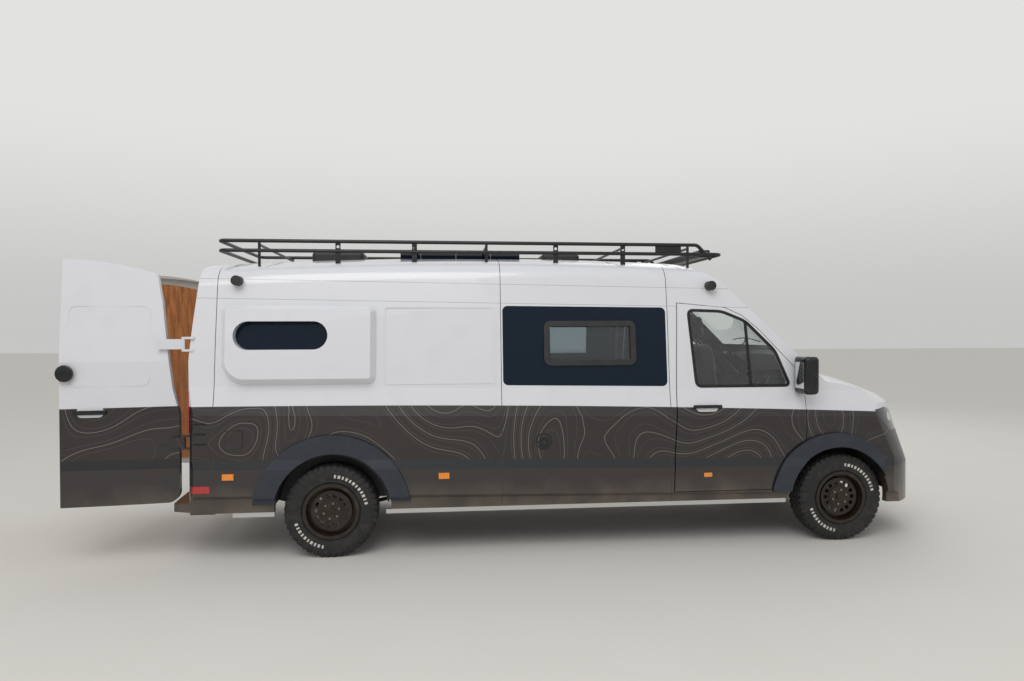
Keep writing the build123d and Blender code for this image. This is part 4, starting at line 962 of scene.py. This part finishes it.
w = wiperForm
lift, elbow, bow = w["lift"], w["elbow"], w["bladeBow"]
for name, footY, footUp, tipY, tipUp in w["arms"]:
    middle = ((footY + tipY) / 2, (footUp + tipUp) / 2)
    places = ((footY, footUp), (footY - elbow, footUp + elbow), middle, (tipY, tipUp))
    arm = [onScreen(across, up, lift * share) for (across, up), share in zip(places, w["armLifts"])]
    tubeAlong(f"wiper_arm_{name}", arm, w["armRadius"], "black", "root")
    blade = []
    for t in w["bladePlaces"]:
        up = tipUp + bow * t - bow * t * t
        blade.append(onScreen(tipY + w["bladeHalf"] * t, up, lift * w["bladeLift"]))
    tubeAlong(f"wiper_blade_{name}", blade, w["bladeRadius"], "seal", "root")

kitchenForm = {
    "top": 0.028,
    "over": 0.012,
    "doors": 3,
    "gap": 0.004,
    "front": 0.006,
    "sink": 0.002,
    "wallGap": 0.01,
    "plinth": 0.08,
    "rail": 0.03,
}
low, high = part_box("kitchen_unit")
k = kitchenForm
backY, frontY, topZ = low[1] + k["wallGap"], high[1], high[2]
worktop = (low[0], high[0], backY, frontY + k["over"], topZ - k["sink"], topZ + k["top"])
blocks("kitchen_worktop", [worktop], "grey", "root", edge=0.004)
pitch = (high[0] - low[0]) / k["doors"]
fronts = []
for n in range(k["doors"]):
    x0 = low[0] + n * pitch + k["gap"]
    x1 = low[0] + (n + 1) * pitch - k["gap"]
    fronts.append((x0, x1, frontY - k["sink"], frontY + k["front"], low[2] + k["plinth"], topZ - k["rail"]))
blocks("kitchen_fronts", fronts, "white", "root", edge=0.002)
print("wipers and kitchen fronts made")


# padded seats on plastic pedestals, and the mattress

seatForm = {
    "x": 1.85,
    "y": 0.47,
    # name, place along and up, half sizes, lean in degrees and squareness
    "parts": (
        ("cushion", 0.0, 0.955, 0.26, 0.245, 0.075, 0.0, 3.5),
        ("back", -0.155, 1.37, 0.075, 0.235, 0.40, -7.0, 3.2),
        ("headrest", -0.235, 1.915, 0.052, 0.13, 0.105, -7.0, 2.6),
    ),
    "seams": (0.32, 0.62),
    "seamDepth": 0.007,
    "seamHalf": 0.012,
    "cap": 0.010,
    "grid": 22,
    "pedestalHalf": 0.2,
    "pedestalZ": (0.602, 0.885),
    "postX": (-0.235, -0.222),
    "postY": 0.06,
    "postHalf": 0.006,
    "postZ": (1.74, 1.85),
}
mattressForm = {
    "grid": 34,
    "shrink": 0.010,
    "power": 6.0,
    "cap": 0.009,
    "channel": 0.235,
    "channelDepth": 0.006,
    "channelHalf": 0.022,
}
coverForm = {
    "pressure": 4.0,
    "frames": 20,
    "bend": 60.0,
}


def swell(piece, cap):
    # cloth simulation: the cover swells under its filling's pressure, and no point moves further than the cap
    rest = [v.co.copy() for v in piece.data.vertices]
    cover = piece.modifiers.new("cover", "CLOTH")
    cover.settings.use_pressure = True
    cover.settings.uniform_pressure_force = coverForm["pressure"]
    cover.settings.effector_weights.gravity = 0.0
    for step in range(1, coverForm["frames"] + 1):
        bpy.context.scene.frame_set(step)
    swollen = piece.evaluated_get(bpy.context.evaluated_depsgraph_get()).data
    moved = [v.co.copy() for v in swollen.vertices]
    piece.modifiers.remove(cover)
    for vertex, old, new in zip(piece.data.vertices, rest, moved):
        way = new - old
        if way.length > cap:
            way *= cap / way.length
        vertex.co = old + way
    bpy.context.scene.frame_set(1)
    print(piece.name, "swollen, furthest", round(max((n - o).length for o, n in zip(rest, moved)), 4))


def stitch(piece, axis, places, half, depth):
    # pulls the cover in along sewn lines across an axis
    piece.data.update()
    normals = [v.normal.copy() for v in piece.data.vertices]
    for vertex, normal in zip(piece.data.vertices, normals):
        near = min(abs(vertex.co[axis] - place) for place in places) / half
        if near < 1:
            vertex.co -= normal * depth * (1 - near) ** 2


def roundedSoft(centre, half, turn, power, grid):
    # a stuffed block: a rounded box with crowned faces
    shape = bmesh.new()
    bmesh.ops.create_cube(shape, size=2.0)
    bmesh.ops.subdivide_edges(shape, edges=shape.edges[:], cuts=grid, use_grid_fill=True)
    turned = Matrix.Rotation(radians(turn), 3, "Y")
    for v in shape.verts:
        x, y, z = v.co
        size = (abs(x) ** (2 * power) + abs(y) ** (2 * power) + abs(z) ** (2 * power)) ** (1 / (2 * power))
        v.co = Vector((x / size * half[0], y / size * half[1], z / size * half[2]))
        v.co = turned @ v.co + Vector(centre)
    return takeMesh(shape)


softForms = []
pedestals = []
for sideName, side in sides:
    f = seatForm
    for label, dx, z, halfX, halfY, halfZ, turn, power in f["parts"]:
        centre = (f["x"] + dx, side * f["y"], z)
        softForms.append(roundedSoft(centre, (halfX, halfY, halfZ), turn, power, f["grid"]))
    y, half = side * f["y"], f["pedestalHalf"]
    pedestals.append((f["x"] - half, f["x"] + half, y - half, y + half, *f["pedestalZ"]))
    half = f["postHalf"]
    back, front = f["postX"]
    for post in (-f["postY"], f["postY"]):
        pedestals.append((f["x"] + back, f["x"] + front, y + post - half, y + post + half, *f["postZ"]))
seatPiece = addPiece("padded_seats", *joinForms(softForms), "cloth", "root", coverForm["bend"])
swell(seatPiece, seatForm["cap"])
seamPlaces = []
for place in seatForm["seams"]:
    across = place * seatForm["parts"][0][4]
    seamPlaces += [side * seatForm["y"] + sign * across for sideName, side in sides for sign in (-1, 1)]
stitch(seatPiece, 1, seamPlaces, seatForm["seamHalf"], seatForm["seamDepth"])
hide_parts("seats")
blocks("seat_pedestals", pedestals, "black", "root", edge=0.005)
low, high = [Vector(corner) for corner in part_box("mattress")]
m = mattressForm
middle = (low + high) / 2
half = (high - low) / 2 - Vector((m["shrink"], m["shrink"], m["shrink"]))
mattressMesh = roundedSoft(middle, half, 0.0, m["power"], m["grid"])
mattressPiece = addPiece("padded_mattress", *mattressMesh, "bedding", "root", coverForm["bend"])
swell(mattressPiece, m["cap"])
for axis in (0, 1):
    count = int(half[axis] * 2 / m["channel"])
    places = [middle[axis] + (n - (count - 1) / 2) * m["channel"] for n in range(count)]
    stitch(mattressPiece, axis, places, m["channelHalf"], m["channelDepth"])
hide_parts("mattress")
print("soft pieces made")


# ground, light and camera

studio = {
    "floorHalf": 60.0,
    "floorColour": "#D9D6D0",
    "floorTone": "#DDDAD5",
    "floorCloud": 0.8,
    "skyColour": "#EDEDEC",
    "skyLevel": 0.74,
    "horizon": 0.66,
    "zenith": 0.9,
    "zenithFrom": 0.28,
    "lightAim": (0.3, 0.0, 1.0),
    "keyPlace": (-2.5, -9.0, 9.5),
    "keyPower": 520.0,
    "keySize": 7.0,
    "rimPlace": (6.0, 7.0, 8.0),
    "rimPower": 150.0,
}


def makeFloor():
    mesh = bpy.data.meshes.new("studioFloor")
    half = studio["floorHalf"]
    corners = [(-half, -half, 0), (half, -half, 0), (half, half, 0), (-half, half, 0)]
    mesh.from_pydata(corners, [], [(0, 1, 2, 3)])
    floor = newObject("studioFloor", mesh)
    material, tree, place = newMaterial("studioPaper")
    cloud = addNode(tree, "TexNoise", {"Vector": place, "Scale": 1 / studio["floorCloud"], "Detail": 2.0})
    tones = {0: cloud, 6: studio["floorColour"], 7: studio["floorTone"]}
    tone = addNode(tree, "Mix", tones, 2, data_type="RGBA")
    mesh.materials.append(endMaterial(material, tree, {"Base Color": tone, "Roughness": 0.85}))


def makeLight(name, place, power, size):
    lamp = bpy.data.lights.new(name, "AREA")
    lamp.energy = power
    lamp.size = size
    holder = newObject(name, lamp)
    holder.location = place
    way = Vector(studio["lightAim"]) - Vector(place)
    holder.rotation_euler = way.to_track_quat("-Z", "Y").to_euler()


def makeSky():
    # the sky that the camera, mirrors and glass see is a soft fade, apart from the even one that gives light
    world = bpy.data.worlds.new("studioSky")
    bpy.context.scene.world = world
    world.use_nodes = True
    tree = world.node_tree
    tree.nodes.clear()
    rays = addNode(tree, "LightPath").node.outputs
    seen = addNode(tree, "Math", [rays["Is Camera Ray"], rays["Is Glossy Ray"]], operation="MAXIMUM")
    seen = addNode(tree, "Math", [seen, rays["Is Transmission Ray"]], operation="MAXIMUM")
    direction = addNode(tree, "SeparateXYZ", [addNode(tree, "TexCoord", output="Generated")], "Z")
    fade = {"From Max": studio["zenithFrom"], "To Min": studio["horizon"], "To Max": studio["zenith"]}
    shown = addNode(tree, "MapRange", {"Value": direction, **fade}, interpolation_type="SMOOTHSTEP")
    level = addNode(tree, "Mix", {0: seen, 2: studio["skyLevel"], 3: shown}, 0, data_type="FLOAT")
    sky = addNode(tree, "Background", {"Color": studio["skyColour"], "Strength": level})
    addNode(tree, "OutputWorld", {"Surface": sky})


# the photograph's camera, solved from the wheels, the ground contacts, the roof line and the rear doors
photoView = {
    "place": (-0.803, -7.031, 1.895),
    "yaw": -5.967,
    "pitch": -0.801,
    "roll": -0.147,
    "focalPixels": 715.0,
    "imageWidth": 1024.0,
    "sensor": 36.0,
}


def makeCamera():
    lens = bpy.data.cameras.new("photoCamera")
    lens.sensor_width = photoView["sensor"]
    lens.sensor_fit = "HORIZONTAL"
    lens.lens = photoView["focalPixels"] / photoView["imageWidth"] * photoView["sensor"]
    camera = newObject("photoCamera", lens)
    turn = Matrix.Rotation(radians(photoView["yaw"]), 4, "Z")
    tilt = Matrix.Rotation(radians(90 + photoView["pitch"]), 4, "X")
    roll = Matrix.Rotation(radians(photoView["roll"]), 4, "Z")
    camera.matrix_world = Matrix.Translation(photoView["place"]) @ turn @ tilt @ roll
    bpy.context.scene.camera = camera


makeFloor()
makeSky()
makeLight("keyLight", studio["keyPlace"], studio["keyPower"], studio["keySize"])
makeLight("rimLight", studio["rimPlace"], studio["rimPower"], studio["keySize"])
makeCamera()
bpy.context.scene.view_settings.view_transform = "Standard"
print("studio ready")
